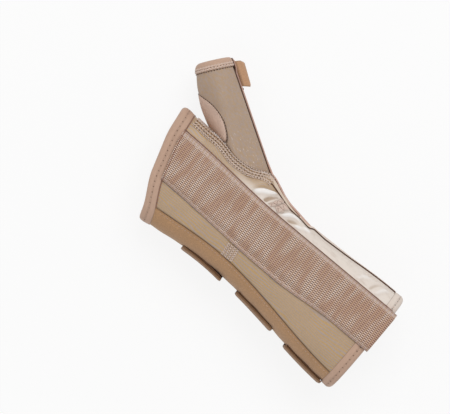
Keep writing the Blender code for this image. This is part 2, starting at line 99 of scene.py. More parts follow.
# Thumb sleeve and tab
HOLE_Y, HOLE_HALF, HOLE_RISE, HOLE_LAP = 0.0548, 0.0272, 0.016, 0.0015
THUMB_TOP_X, THUMB_TOP_Y, THUMB_RADIUS, THUMB_TURN = 0.0858, 0.1115, 0.0124, math.radians(-37.5)
THUMB_TOP_RISE, THUMB_HEM, THUMB_HEM_SHARE, WEB_BULGE = 0.002, 0.0072, 0.10, 0.0033
THUMB_BINDING_THICK, THUMB_LINING_EASE = 0.0010, 0.0001
GUSSET_BASE, GUSSET_WIDE, GUSSET_TOP = math.radians(118), math.radians(100), math.radians(176)
GUSSET_WIDE_SHARE, GUSSET_TURN_SHARE, GUSSET_END = 0.25, 0.30, 0.57
CROWN, CROWN_SHARE = math.radians(179.4), 0.66
SLIT_TURN, SLIT_GAP = math.radians(16), math.radians(1.5)
SLIT_BASE, SLIT_TOP = math.radians(26), math.radians(13)
SLIT_LIFT_FROM, SLIT_LIFT_TO, SLIT_END = 0.86, 0.91, 0.984
TAB_START, TAB_END, TAB_THICK, TAB_BULGE, TAB_HOOK_THICK = 0.750, 0.958, 0.0016, 0.0070, 0.0010
TAB_ROOT_TURN, TAB_BULGE_TURN = math.radians(11), math.radians(-16)
TAB_HOOK_TURN, TAB_END_TURN = math.radians(-52), math.radians(-92)

# Meshes: angle of a sharp edge, depth of a stitch's tips, swell and seam groove of sewn cloth
SHARP_ANGLE, STITCH_DIP, PANEL_SWELL, PANEL_SINK = math.radians(50), 0.00018, 0.0003, 0.0004

FULL = 2 * math.pi
THUMB_FIRST, THUMB_LAST = SLIT_TURN + SLIT_GAP, FULL + SLIT_TURN - SLIT_GAP


# Curves of the sleeve
def lerp(first, second, share):
    """Straight step from first (share 0) to second (share 1)."""
    return first + (second - first) * share


def ease(start, end, value):
    """Smooth step: 0 at start, 1 at end, 3t^2 - 2t^3 between."""
    share = np.clip((value - start) / (end - start), 0.0, 1.0)
    return share * share * (3.0 - 2.0 * share)


def bell(value, width):
    """Round hump of height 1 that fades to nothing about two widths away: exp(-(v/w)^2)."""
    return np.exp(-((value / width) ** 2))


def top_at(y):
    """Height of the palm face's straight ridge, which falls evenly from forearm to palm."""
    return lerp(FOREARM_TOP, PALM_TOP, (y - PROXIMAL_Y) / (DISTAL_Y - PROXIMAL_Y))


def section(y):
    """Middle x, half width, centre z and half depth of the sleeve: smooth steps forearm, wrist, palm."""
    y = np.asarray(y, float)
    low = ease(PROXIMAL_Y, WRIST_Y, y)
    high = ease(WRIST_Y, DISTAL_Y + DISTAL_SLANT, y)
    middle = np.where(y < WRIST_Y, lerp(FOREARM_X, WRIST_X, low), lerp(WRIST_X, PALM_X, high))
    width = np.where(y < WRIST_Y, lerp(FOREARM_WIDTH, WRIST_WIDTH, low), lerp(WRIST_WIDTH, PALM_WIDTH, high))
    top = top_at(y)
    return middle, width / 2, (top + BOTTOM_Z) / 2, (top - BOTTOM_Z) / 2


def unit_section(turn):
    """Unit superellipse |c|^n + |s|^n = 1 in the direction of a turn; n is larger on the thumb side."""
    across, up = np.cos(turn), np.sin(turn)
    power = np.where(across > 0, RADIAL_POWER, ULNAR_POWER)
    reach = (np.abs(across) ** power + np.abs(up) ** power) ** (-1.0 / power)
    return across * reach, up * reach


def radial_flare(y):
    """Extra reach of the thumb side: smooth steps inwards at the waist and outwards at the thumb's base."""
    dip = ease(WAIST_DIP_FROM, WAIST_DIP_Y, y) * (1 - ease(WAIST_DIP_Y, WAIST_DIP_TO, y))
    swell = ease(THENAR_FROM, THENAR_FULL, y) * (1 - ease(THENAR_LAST, THENAR_TO, y))
    narrowed = lerp(1.0, THENAR_NARROWED_SHARE, ease(THENAR_FULL, THENAR_NARROWED, y))
    return THENAR_FLARE * swell * narrowed - WAIST_DIP * dip


def sleeve_point(y, turn, layer):
    """Point of the sleeve: the unit section times the half sizes, grown by the layer's distance."""
    middle, half, centre, depth = section(y)
    across, up = unit_section(turn)
    reach = half + layer + np.where(across > 0, radial_flare(y), 0.0)
    y = y + 0.0 * turn
    return np.stack((middle + reach * across, y, centre + (depth + layer) * up), axis=-1)


def turn_at_x(x, y, layer, side):
    """Turn at a plan position on the palm (side 1) or the back (side -1)."""
    middle, half, _, _ = section(y)
    reach = half + layer + np.where(x > middle, radial_flare(y), 0.0)
    share = np.clip((x - middle) / reach, -1.0, 1.0)
    power = np.where(share > 0, RADIAL_POWER, ULNAR_POWER)
    rise = side * (1.0 - np.abs(share) ** power) ** (1.0 / power)
    return np.arctan2(rise, share)


def turn_at_rise(rise, y):
    """Turn on the thumb side at a height above the section's centre."""
    share = rise / section(y)[3]
    return np.arctan2(share, (1.0 - np.abs(share) ** RADIAL_POWER) ** (1.0 / RADIAL_POWER))


def turn_of(degrees):
    """Turn of the ulnar half's point whose superellipse angle is given: |cos|^(2/n), |sin|^(2/n)."""
    angle = math.radians(degrees)
    power = 2.0 / ULNAR_POWER
    across = math.copysign(abs(math.cos(angle)) ** power, math.cos(angle))
    up = math.copysign(abs(math.sin(angle)) ** power, math.sin(angle))
    return math.atan2(up, across) % FULL


def distal_edge(turn):
    """Edge at the fingers: a slanted line that bows outward on the palm side, least at its two ends."""
    across, rise = unit_section(turn)
    kept = 1.0 - BOW_FALL * ease(BOW_FALL_FROM, BOW_FALL_TO, across)
    bow = ease(BOW_FROM, BOW_FULL, across) * kept * ease(BOW_RISE_FROM, BOW_RISE_TO, rise)
    return DISTAL_Y + DISTAL_SLANT * across + DISTAL_BOW * bow


def hole_rise(y, grow):
    """Half height of the lens-shaped thumb hole: a parabola along y, grown by a margin."""
    along = (y - HOLE_Y) / (HOLE_HALF + grow)
    return np.maximum((HOLE_RISE + grow) * (1.0 - along * along), 0.0)


def radial_seam(y):
    """Height of the radial seam over the section's centre: level on the forearm, then down to 0."""
    return RADIAL_SEAM_RISE * (1.0 - ease(SEAM_TURN_FROM, SEAM_TURN_TO, y))


# Plan distance of the flap's inner edge from the sleeve's side, at places along the sleeve
FLAP_INSET = np.array(((-0.0300, 0.0019), (-0.0120, 0.0016), (-0.0085, 0.0016), (-0.0027, 0.0022), (0.0053, 0.0028),
                       (0.0115, 0.0034), (0.0180, 0.0042), (0.0228, 0.0046), (0.0284, 0.0050)))
# Flap: layer at its outer edge and how much lower at its inner one, share of its thickness lost above the wrist,
# extra fullness below it, and where the loss and the fullness start and end
FLAP_LAYER, FLAP_FALL, FLAP_THINNED, FLAP_FULLER = 0.0003, 0.0002, 0.7, 0.0009
THINNED_FROM, THINNED_TO, FULLER_FROM, FULLER_TO = 0.006, 0.018, -0.060, -0.030
FULLER_LAST, FULLER_NONE = -0.0185, -0.0160
# Plan distance of the dark radial line, a painted shadow of the seam's gap, from the flap's outline, at places on the
# forearm side of its tip
LINE_INSET = np.array(((-0.0900, 0.0011), (-0.0600, 0.0012), (-0.0300, 0.0020), (-0.0250, 0.0016),
                       (-0.0198, 0.0013)))
LINE_END, LINE_LIFT, LINE_JOG_FROM, LINE_JOG_TO = 0.0246, 0.0003, -0.0208, -0.0136
PIPING_START, PIPING_DARK = -0.0160, 0.0206
# Height of the piping's middle along the flap's outer edge
PIPING_LAYER = np.array(((-0.0160, 0.0006), (0.0020, 0.0006), (0.0120, -0.0001), (0.0200, -0.0001),
                         (0.0280, 0.0009)))
PIPING_RADIUS = 0.0008


def flap_edge(y):
    """Plan x of the inner edge of the flap beyond the radial seam."""
    return sleeve_point(y, 0.0 * y, 0.0)[..., 0] - np.interp(y, *FLAP_INSET.T)


def flap_turn(y, column):
    """Turn across the flap, from its outer edge low on the thumb side (column 0) to its inner edge (column 1)."""
    return lerp(turn_at_rise(FLAP_OUTER_RISE + 0.0 * y, y), turn_at_x(flap_edge(y), y, 0.0, 1), column)


def flap_layer(y, column):
    """Height of the flap: a hump nearer its outer edge, sin(pi c^0.6), thinner above the wrist, fuller below it."""
    hump = np.sin(math.pi * np.clip(column, 0.0, 1.0) ** 0.6)
    fuller = FLAP_FULLER * ease(FULLER_FROM, FULLER_TO, y) * (1 - ease(FULLER_LAST, FULLER_NONE, y))
    thick = RADIAL_BINDING_THICK * (1 - FLAP_THINNED * ease(THINNED_FROM, THINNED_TO, y))
    return FLAP_LAYER - FLAP_FALL * column + (thick + fuller) * hump


def radial_line(y):
    """Painted shadow line of the radial seam's gap: inside the flap's outline on the forearm, on its inner edge above
    the wrist.
    """
    column = np.linspace(0.0, 1.0, 61)
    grid = y[:, None] + 0.0 * column
    x = sleeve_point(grid, flap_turn(grid, column), flap_layer(grid, column))[..., 0]
    found = []
    for row, inset in zip(x, np.interp(y, *LINE_INSET.T)):
        outermost = int(np.argmax(row))
        found.append(np.interp(inset - row[outermost], -row[outermost:], column[outermost:]))
    column = lerp(np.array(found), 1.0, ease(LINE_JOG_FROM, LINE_JOG_TO, y))
    return sleeve_point(y, flap_turn(y, column), flap_layer(y, column) + LINE_LIFT)


def piping_path():
    """Path of the piping: along the flap's outer edge from its tip, down to the slit's foot and a little way up it."""
    y = np.linspace(PIPING_START, FLAP_END, 120)
    rise = lerp(FLAP_OUTER_RISE, 0.0014, ease(0.010, FLAP_END, y))
    flap = sleeve_point(y, turn_at_rise(rise, y), np.interp(y, *PIPING_LAYER.T))
    share = np.linspace(0.004, 0.11, 40)
    slit = thumb_point(share, SLIT_TURN - 0.12 + 0.0 * share, lerp(0.0010, 0.0002, ease(0.0, 0.11, share)))
    path = np.concatenate((flap, slit))
    for _ in range(40):
        path[1:-1] = (path[:-2] + 2 * path[1:-1] + path[2:]) / 4
    return path


def palm_radial_edge(y):
    """Turn of the palm panel's thumb edge: the radial seam, or the hole's upper rim where it is higher."""
    return turn_at_rise(np.maximum(radial_seam(y), hole_rise(y, -HOLE_LAP)) + SEAM_GAP, y)


def back_radial_edge(y):
    """Turn of the back panel's thumb edge: the hole's lower rim, or else the radial seam."""
    hole = hole_rise(y, -HOLE_LAP)
    return turn_at_rise(np.where(hole > 0, -hole, radial_seam(y)) - SEAM_GAP, y)


def palm_middle(y, shift=0.0):
    """Turn of the seam under the stay tape, moved by a plan distance."""
    return turn_at_x(STAY_X + shift, y, 0.0, 1)


def ulnar_seam(y, shift=0.0):
    """Turn of the loop strip's seam: its plan distance from the side grows evenly toward the fingers."""
    middle, half, _, _ = section(y)
    show = lerp(STRIP_SHOW_FOREARM, STRIP_SHOW_FINGERS, (y - PROXIMAL_Y) / (DISTAL_Y - PROXIMAL_Y))
    return turn_at_x(middle - half + show + shift, y, 0.0, 1)


def opening_ulnar(y, inset=0.0):
    """Turn of the back opening's ulnar edge, moved away from the opening."""
    return FULL + turn_at_x(OPENING_X - OPENING_WIDTH / 2 - inset, y, 0.0, -1)


def opening_radial(y, inset=0.0):
    """Turn of the back opening's radial edge, moved away from the opening."""
    return turn_at_x(OPENING_X + OPENING_WIDTH / 2 + inset, y, 0.0, -1)


# Curves of the thumb sleeve
def thumb_point(share, angle, layer):
    """Line from the hole's lens-shaped rim (share 0) to the round top (share 1), bowed out at the web."""
    share, angle, layer = np.broadcast_arrays(share, angle, layer)
    y = HOLE_Y - (HOLE_HALF + layer) * np.cos(angle)
    rise = (HOLE_RISE + layer) * np.sin(angle) * np.abs(np.sin(angle))
    rim = sleeve_point(y, turn_at_rise(rise, y), GAP)
    radius = THUMB_RADIUS + layer
    out = radius * np.cos(angle)
    top = np.stack((THUMB_TOP_X + out * math.cos(THUMB_TURN), THUMB_TOP_Y + out * math.sin(THUMB_TURN),
                    section(HOLE_Y)[2] + THUMB_TOP_RISE + radius * np.sin(angle)), axis=-1)
    bulge = WEB_BULGE * 4 * share * (1 - share) * np.maximum(-np.cos(angle), 0.0) ** 2
    outward = np.array((-math.cos(THUMB_TURN), -math.sin(THUMB_TURN), 0.0))
    return lerp(rim, top, share[..., None]) + bulge[..., None] * outward


def thumb_line(angle):
    """Length of the thumb sleeve at an angle round it."""
    return np.linalg.norm(thumb_point(1.0, angle, 0.0) - thumb_point(0.0, angle, 0.0), axis=-1)


def even_hem(share, angle):
    """Share moved above the gusset so that the hem, from 1 - THUMB_HEM_SHARE up, is equally wide all round."""
    start = 1 - THUMB_HEM_SHARE
    hem = 1 - THUMB_HEM / thumb_line(angle)
    body = lerp(GUSSET_END, hem, (share - GUSSET_END) / (start - GUSSET_END))
    rolled = lerp(hem, 1.0, (share - start) / THUMB_HEM_SHARE)
    return np.where(share > start, rolled, np.where(share > GUSSET_END, body, share))


def below_top(distance, angle):
    """Share at a distance below the thumb's top edge."""
    return 1 - distance / thumb_line(angle)


def gusset_angle(share):
    """Seam of the leaf-shaped gusset: parabolas below and above its widest part, then one seam on the inside."""
    below = np.maximum(1 - share / GUSSET_WIDE_SHARE, 0.0)
    above = np.clip((share - GUSSET_TURN_SHARE) / (GUSSET_END - GUSSET_TURN_SHARE), 0.0, 1.0)
    angle = GUSSET_WIDE + (GUSSET_BASE - GUSSET_WIDE) * below ** 2 + (GUSSET_TOP - GUSSET_WIDE) * above ** 2
    return lerp(angle, CROWN, ease(GUSSET_END, CROWN_SHARE, share))


def slit_angle(share):
    """Angle of the slit binding's edge, which nears the slit evenly toward the top."""
    return lerp(SLIT_BASE, SLIT_TOP, share)


def thumb_seam(share):
    """Angle that one seam gap takes up round the thumb."""
    return 2 * SEAM_GAP / lerp(HOLE_RISE, THUMB_RADIUS, share)


# Meshes
def spread(count, pull=0.55):
    """Shares from 0 to 1 that lie closer together at both ends: t - pull sin(2 pi t) / 2 pi."""
    share = np.linspace(0.0, 1.0, count + 1)
    return share - pull * np.sin(FULL * share) / FULL


def run_lengths(points, axis):
    """Length along the grid's rows or columns up to each point."""
    step = np.linalg.norm(np.diff(points, axis=axis), axis=-1)
    return np.concatenate((np.zeros_like(np.take(step, [0], axis=axis)), np.cumsum(step, axis=axis)), axis=axis)


def cloth_lengths(points):
    """Real lengths across and along a grid, and each point's distance from the grid's nearest border."""
    across = run_lengths(points, 1)
    along = run_lengths(points, 0)
    border = np.minimum(np.minimum(across, across[:, -1:] - across), np.minimum(along, along[-1:] - along))
    return across, along, border


def unit(vectors):
    """Vectors of length 1."""
    return vectors / np.maximum(np.linalg.norm(vectors, axis=-1, keepdims=True), 1e-12)


def grid_faces(rows, columns, start=0, wrap=False):
    """Quads of a grid of points, closed across its columns where it wraps."""
    first = np.arange(rows - 1)[:, None] * columns
    here = np.arange(columns if wrap else columns - 1)[None, :]
    after = (here + 1) % columns
    quads = np.stack((first + here, first + after, first + columns + after, first + columns + here), axis=-1)
    return start + quads.reshape(-1, 4)


def enclosed_volume(mesh, points):
    """Volume inside a closed mesh, negative where its faces point inwards: a sixth of each triangle's box."""
    mesh.calc_loop_triangles()
    corners = np.empty(3 * len(mesh.loop_triangles), dtype=np.int32)
    mesh.loop_triangles.foreach_get("vertices", corners)
    a, b, c = np.moveaxis(points[corners.reshape(-1, 3)], 1, 0)
    return float((a * np.cross(b, c)).sum() / 6)


def mark_points(mesh, name, values):
    """Stores a value for each point that materials can read."""
    marks = mesh.attributes.new(name, "FLOAT", "POINT")
    marks.data.foreach_set("value", np.ascontiguousarray(values, dtype=np.float32))


def add_piece(name, points, faces, finish, body, uv=None, border=None, stands_for=()):
    """Mesh piece with its place in the mesh, riding on a body of the frame."""
    if stands_for:
        name += "_sewn"
    mesh = bpy.data.meshes.new(name)
    mesh.from_pydata((points - ORIGIN).tolist(), [], [list(face) for face in faces])
    if enclosed_volume(mesh, points) < 0:
        mesh.flip_normals()
    corner = np.empty(len(mesh.loops), dtype=np.int32)
    mesh.loops.foreach_get("vertex_index", corner)
    if uv is None:
        uv = points[:, :2]
    layer = mesh.uv_layers.new(name="UVMap")
    layer.uv.foreach_set("vector", np.ascontiguousarray(uv[corner], dtype=np.float32).ravel())
    if border is None:
        border = np.full(len(points), 0.01)
    mark_points(mesh, "border", border)
    mesh.shade_smooth()
    mesh.set_sharp_from_angle(angle=SHARP_ANGLE)
    mesh.materials.append(finish_material(finish))
    piece = bpy.data.objects.new(name, mesh)
    bpy.context.scene.collection.objects.link(piece)
    if body:
        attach(piece, body)
    if stands_for:
        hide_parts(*stands_for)
    return piece


def sheet_piece(name, outer, inner, finish, body, lengths, stands_for=()):
    """Closed sheet of cloth from its outer and inner grids, joined by a rim."""
    rows, columns = outer.shape[:2]
    count = rows * columns
    across, along, border = lengths
    out = grid_faces(rows, columns)
    into = grid_faces(rows, columns, count)[:, ::-1]
    edge = np.concatenate((np.arange(columns), np.arange(2, rows + 1) * columns - 1,
                           np.arange(count - 2, count - columns - 1, -1), np.arange(rows - 2, 0, -1) * columns))
    after = np.roll(edge, -1)
    rim = np.stack((after, edge, edge + count, after + count), axis=-1)
    faces = np.concatenate((out, into, rim))
    points = np.concatenate((outer.reshape(-1, 3), inner.reshape(-1, 3)))
    uv = np.stack((across, along), axis=-1).reshape(-1, 2)
    return add_piece(name, points, faces, finish, body, np.concatenate((uv, uv)),
                     np.tile(border.ravel(), 2), stands_for)


def tube_piece(name, paths, radius, finish, body, sides=6):
    """Round threads along paths: a ring of points at each path point, square to the path, with closed ends."""
    all_points, all_faces, all_uv, start = [], [], [], 0
    angle = np.linspace(0.0, FULL, sides, endpoint=False)
    for path in paths:
        count = len(path)
        forward = unit(np.gradient(path, axis=0))
        side = unit(np.cross(forward, (0.31, 0.17, 0.93)))
        up = np.cross(side, forward)
        ring = side[:, None] * np.cos(angle)[:, None] + up[:, None] * np.sin(angle)[:, None]
        all_points.append((path[:, None] + radius * ring).reshape(-1, 3))
        run = run_lengths(path, 0)
        all_uv.append(np.stack((np.tile(angle * radius, count), np.repeat(run, sides)), axis=-1))
        all_faces += [list(quad) for quad in grid_faces(count, sides, start, wrap=True)]
        all_faces.append(list(range(start + sides - 1, start - 1, -1)))
        all_faces.append(list(range(start + (count - 1) * sides, start + count * sides)))
        start += count * sides
    points = np.concatenate(all_points)
    return add_piece(name, points, all_faces, finish, body, np.concatenate(all_uv))


def stitch_piece(name, starts, ends, normals, width, finish, body):
    """Stitches of sewing thread: one flattened spindle from each start to its end, its tips in the cloth.

    A spindle has three rings of six points, at -0.62, 0 and 0.62 of its half length and 0.72, 1 and 0.72
    of its width, and a point at each tip.
    """
    middle = (starts + ends) / 2
    reach = np.linalg.norm(ends - starts, axis=1)[:, None, None] / 2
    forward = unit(ends - starts)
    side = unit(np.cross(forward, normals))
    up = np.cross(side, forward)
    angle = np.linspace(0.0, FULL, 6, endpoint=False)
    place = np.repeat((-0.62, 0.0, 0.62), 6)
    size = np.repeat((0.72, 1.0, 0.72), 6) * width / 2
    along = np.concatenate(([-1.0], place, [1.0]))
    across = np.concatenate(([0.0], size * np.tile(np.cos(angle), 3), [0.0]))
    raised = np.concatenate(([-STITCH_DIP], size * 0.8 * np.tile(np.sin(angle), 3) - STITCH_DIP * place ** 2,
                             [-STITCH_DIP]))
    points = (middle[:, None] + along[:, None] * reach * forward[:, None]
              + across[:, None] * side[:, None] + raised[:, None] * up[:, None])
    ring = np.arange(6)
    after = (ring + 1) % 6
    body_quads = np.concatenate([np.stack((1 + k + ring, 1 + k + after, 7 + k + after, 7 + k + ring), -1)
                                 for k in (0, 6)])
    count = len(starts)
    shift = (np.arange(count) * 20)[:, None, None]
    quads = (body_quads[None] + shift).reshape(-1, 4).tolist()
    first = (np.stack((np.zeros(6, int), 1 + after, 1 + ring), -1)[None] + shift).reshape(-1, 3).tolist()
    last = (np.stack((np.full(6, 19), 13 + ring, 13 + after), -1)[None] + shift).reshape(-1, 3).tolist()
    uv = np.stack((np.broadcast_to(across, (count, 20)), along * reach[:, :, 0]), axis=-1).reshape(-1, 2)
    return add_piece(name, points.reshape(-1, 3), quads + first + last, finish, body, uv)


def stitch_line(path, normals, pitch, share):
    """Starts, ends and normals of even stitches along a path; share is the stitch's part of the pitch."""
    run = run_lengths(path, 0)
    count = max(int(run[-1] / pitch), 1)
    first = (np.arange(count) + (1 - share) / 2) * run[-1] / count
    last = first + share * run[-1] / count

    def at(lengths, values):
        return np.stack([np.interp(lengths, run, values[:, axis]) for axis in range(3)], axis=-1)

    return at(first, path), at(last, path), at((first + last) / 2, normals)


def zigzag(path, normals, side_from, side_to, pitch):
    """Starts, ends and normals of a zigzag that swings between two distances beside a path."""
    run = run_lengths(path, 0)
    count = max(int(run[-1] / pitch), 2)
    lengths = np.linspace(0.0, run[-1], count + 1)
    base = np.stack([np.interp(lengths, run, path[:, axis]) for axis in range(3)], axis=-1)
    up = unit(np.stack([np.interp(lengths, run, normals[:, axis]) for axis in range(3)], axis=-1))
    side = unit(np.cross(up, np.gradient(base, axis=0)))
    swing = np.where(np.arange(count + 1) % 2, side_to, side_from)
    knots = base + side * swing[:, None]
    return knots[:-1], knots[1:], (up[:-1] + up[1:]) / 2


def join_stitches(*lines):
    """One set of starts, ends and normals from several."""
    return tuple(np.concatenate(parts) for parts in zip(*lines))


def sleeve_path(y, turn, layer):
    """Path on the sleeve and its outward directions, from the difference of two layers."""
    path = sleeve_point(y, turn, layer)
    return path, unit(sleeve_point(y, turn, layer + 0.001) - path)


def thumb_path(share, angle, layer):
    """Path on the thumb sleeve and its outward directions, from the difference of two layers."""
    path = thumb_point(share, angle, layer)
    return path, unit(thumb_point(share, angle, layer + 0.001) - path)


# Finishes
def tone(red, green, blue):
    """Linear colour from screen values of 0 to 255."""
    share = np.array((red, green, blue)) / 255.0
    return tuple(float(v) for v in np.where(share > 0.04045, ((share + 0.055) / 1.055) ** 2.4, share / 12.92))


class Nodes:
    """Short way to place and join the nodes of one shader tree."""

    def __init__(self, tree):
        self.tree = tree

    def put(self, kind, feeds=(), **settings):
        node = self.tree.nodes.new("ShaderNode" + kind)
        for name, value in settings.items():
            setattr(node, name, value)
        for socket, value in dict(feeds).items():
            self.feed(node.inputs[socket], value)
        return node

    def feed(self, socket, value):
        if isinstance(value, bpy.types.NodeSocket):
            self.tree.links.new(value, socket)
        elif hasattr(value, "__len__") and socket.type == "RGBA" and len(value) == 3:
            socket.default_value = (*value, 1.0)
        else:
            socket.default_value = value

    def math(self, operation, first, second=0.0, third=0.0):
        return self.put("Math", {0: first, 1: second, 2: third}, operation=operation).outputs[0]

    def plus(self, first, second):
        return self.math("ADD", first, second)

    def minus(self, first, second):
        return self.math("SUBTRACT", first, second)

    def times(self, first, second):
        return self.math("MULTIPLY", first, second)

    def over(self, first, second):
        return self.math("DIVIDE", first, second)

    def flip(self, share):
        """The rest of a share: 1 - share."""
        return self.minus(1.0, share)

    def wave(self, value):
        """Cosine wave of period 1, from 0 to 1."""
        return self.math("MULTIPLY_ADD", self.math("COSINE", self.math("MULTIPLY", value, FULL)), 0.5, 0.5)

    def step(self, value, start, end):
        return self.put("MapRange", {0: value, 1: start, 2: end}, interpolation_type="SMOOTHSTEP").outputs[0]

    def mix(self, share, first, second, blend="MIX"):
        node = self.put("Mix", data_type="RGBA", blend_type=blend)
        for index, value in ((0, share), (6, first), (7, second)):
            self.feed(node.inputs[index], value)
        return node.outputs[2]

    def blend(self, share, first, second):
        node = self.put("Mix", data_type="FLOAT")
        for index, value in ((0, share), (2, first), (3, second)):
            self.feed(node.inputs[index], value)
        return node.outputs[0]

    def noise(self, vector, scale, detail=2.0, rough=0.5):
        node = self.put("TexNoise", {"Vector": vector, "Scale": scale, "Detail": detail, "Roughness": rough})
        return node.outputs["Fac"]

    def stretch(self, vector, across, along, third=1.0):
        return self.put("Mapping", {"Vector": vector, "Scale": (across, along, third)}).outputs[0]

    def split(self, vector):
        return self.put("SeparateXYZ", {0: vector}).outputs

    def uv(self):
        return self.put("UVMap", uv_map="UVMap").outputs[0]

    def place(self):
        return self.put("TexCoord").outputs["Object"]

    def border(self):
        return self.put("Attribute", attribute_name="border").outputs["Fac"]

    def weave(self, vector, across, along, twill, fibre):
        """Woven yarn of a pitch across and along, from plain (twill 0) to slanted (twill 1)."""
        return self.group(weave_group(), {"Vector": vector, "Across": across, "Along": along, "Twill": twill,
                                          "Fibre": fibre})

    def group(self, tree, feeds):
        node = self.put("Group")
        node.node_tree = tree
        for name, value in feeds.items():
            self.feed(node.inputs[name], value)
        return node.outputs


def new_group(name, inputs, outputs):
    """Empty shader group with named sockets; returns its tree, nodes, input sockets and output node."""
    tree = bpy.data.node_groups.new(name, "ShaderNodeTree")
    for label, kind, default in inputs:
        socket = tree.interface.new_socket(label, in_out="INPUT", socket_type="NodeSocket" + kind)
        if default is not None:
            socket.default_value = default
    for label, kind in outputs:
        tree.interface.new_socket(label, in_out="OUTPUT", socket_type="NodeSocket" + kind)
    given = tree.nodes.new("NodeGroupInput").outputs
    return tree, Nodes(tree), given, tree.nodes.new("NodeGroupOutput").inputs


def weave_group():
    """Woven cloth: two crossing waves of yarn, from a plain weave to a slanted twill, with loose fibres."""
    found = bpy.data.node_groups.get("yarn_weave")
    if found:
        return found
    tree, nodes, given, put = new_group(
        "yarn_weave",
        (("Vector", "Vector", None), ("Across", "Float", 0.0005), ("Along", "Float", 0.0005),
         ("Twill", "Float", 0.0), ("Fibre", "Float", 0.4)),
        (("Height", "Float"), ("Tone", "Float")))
    x, y, _ = nodes.split(given["Vector"])
    warp = nodes.over(x, given["Across"])
    weft = nodes.over(y, given["Along"])
    plain = nodes.blend(nodes.wave(warp), nodes.wave(weft), nodes.flip(nodes.wave(weft)))
    twill = nodes.wave(nodes.plus(warp, weft))
    yarn = nodes.blend(given["Twill"], plain, twill)
    fibre = nodes.noise(given["Vector"], 2600.0, 3.0, 0.7)
    height = nodes.blend(given["Fibre"], yarn, fibre)
    slub = nodes.noise(nodes.stretch(given["Vector"], 900.0, 120.0), 1.0, 2.0)
    nodes.feed(put["Height"], height)
    nodes.feed(put["Tone"], nodes.blend(0.45, height, slub))
    return tree


def seam_shade_and_soil_group():
    """Handled cloth: broad blotches of soil, and darker seams where the border is near, which is painted shade with
    some soil.
    """
    found = bpy.data.node_groups.get("seam_and_soil")
    if found:
        return found
    tree, nodes, given, put = new_group(
        "seam_and_soil",
        (("Color", "Color", None), ("Place", "Vector", None), ("Border", "Float", 0.01),
         ("Seam", "Float", 0.35), ("Blotch", "Float", 0.12), ("Reach", "Float", 0.0014)),
        (("Color", "Color"),))
    # Painted seam shade with some soil: darker by Seam where the border is nearer than Reach.
    near = nodes.flip(nodes.step(given["Border"], 0.0, given["Reach"]))
    dark = nodes.times(near, given["Seam"])
    broad = nodes.noise(given["Place"], 46.0, 3.0, 0.55)
    fine = nodes.noise(given["Place"], 420.0, 2.0, 0.6)
    patch = nodes.minus(nodes.blend(0.4, broad, fine), 0.5)
    level = nodes.math("MULTIPLY_ADD", patch, nodes.times(given["Blotch"], 2.0), 1.0)
    level = nodes.times(level, nodes.flip(dark))
    shade = nodes.put("CombineXYZ", {0: level, 1: level, 2: level}).outputs[0]
    nodes.feed(put["Color"], nodes.mix(1.0, given["Color"], shade, "MULTIPLY"))
    return tree


def needle_group():
    """Row of needle holes: round dimples a stitch apart along the cloth, at one distance across it."""
    found = bpy.data.node_groups.get("needle_holes")
    if found:
        return found
    tree, nodes, given, put = new_group(
        "needle_holes",
        (("Vector", "Vector", None), ("Line", "Float", 0.003), ("Pitch", "Float", 0.0038),
         ("Radius", "Float", 0.0005)),
        (("Hole", "Float"), ("Furrow", "Float")))
    x, y, _ = nodes.split(given["Vector"])
    off = nodes.minus(x, given["Line"])
    cell = nodes.minus(nodes.math("FRACT", nodes.over(y, given["Pitch"])), 0.5)
    run = nodes.times(cell, given["Pitch"])
    away = nodes.math("SQRT", nodes.plus(nodes.times(off, off), nodes.times(run, run)))
    hole = nodes.flip(nodes.step(away, nodes.times(given["Radius"], 0.4), given["Radius"]))
    side = nodes.math("ABSOLUTE", off)
    furrow = nodes.flip(nodes.step(side, 0.0, nodes.times(given["Radius"], 2.6)))
    nodes.feed(put["Hole"], hole)
    nodes.feed(put["Furrow"], furrow)
    return tree


def palette():
    return bpy.context.scene.splint_colours


def sizes():
    return bpy.context.scene.splint_sizes


def scaled(colour, level):
    return tuple(min(float(value) * level, 1.0) for value in colour[:3])


def new_material(name):
    material = bpy.data.materials.new(name)
    material.use_nodes = True
    return material, Nodes(material.node_tree), material.node_tree.nodes["Principled BSDF"]


def close_cloth(nodes, shader, colour, height, depth, seam=0.35, blotch=0.12, reach=0.0014):
    """Last steps of every cloth: soil blotches and painted seam shade, partly soil, over the colour (seam sets how
    dark it is at the borders), and bump from the height.
    """
    soiled = nodes.group(seam_shade_and_soil_group(), {"Color": colour, "Place": nodes.place(), "Border": nodes.border(),
                                        "Seam": seam, "Blotch": blotch, "Reach": reach})
    nodes.feed(shader.inputs["Base Color"], soiled["Color"])
    bump = nodes.put("Bump", {"Strength": 1.0, "Distance": depth, "Height": height})
    nodes.feed(shader.inputs["Normal"], bump.outputs[0])


def set_gloss(shader, rough, sheen, sheen_rough=0.5, specular=0.35):
    shader.inputs["Roughness"].default_value = rough
    shader.inputs["Sheen Weight"].default_value = sheen
    shader.inputs["Sheen Roughness"].default_value = sheen_rough
    shader.inputs["Specular IOR Level"].default_value = specular


def plain_cloth(name, colour, weave, contrast, depth, gloss, **close):
    """Woven cloth of one dye, its yarns a little lighter and darker than the dye."""
    material, nodes, shader = new_material(name)
    across, along, twill, fibre = weave
    yarn = nodes.weave(nodes.uv(), across, along, twill, fibre)
    base = nodes.mix(yarn["Tone"], scaled(colour, 1 - contrast), scaled(colour, 1 + contrast))
    close_cloth(nodes, shader, base, yarn["Height"], depth, **close)
    set_gloss(shader, *gloss)
    return material


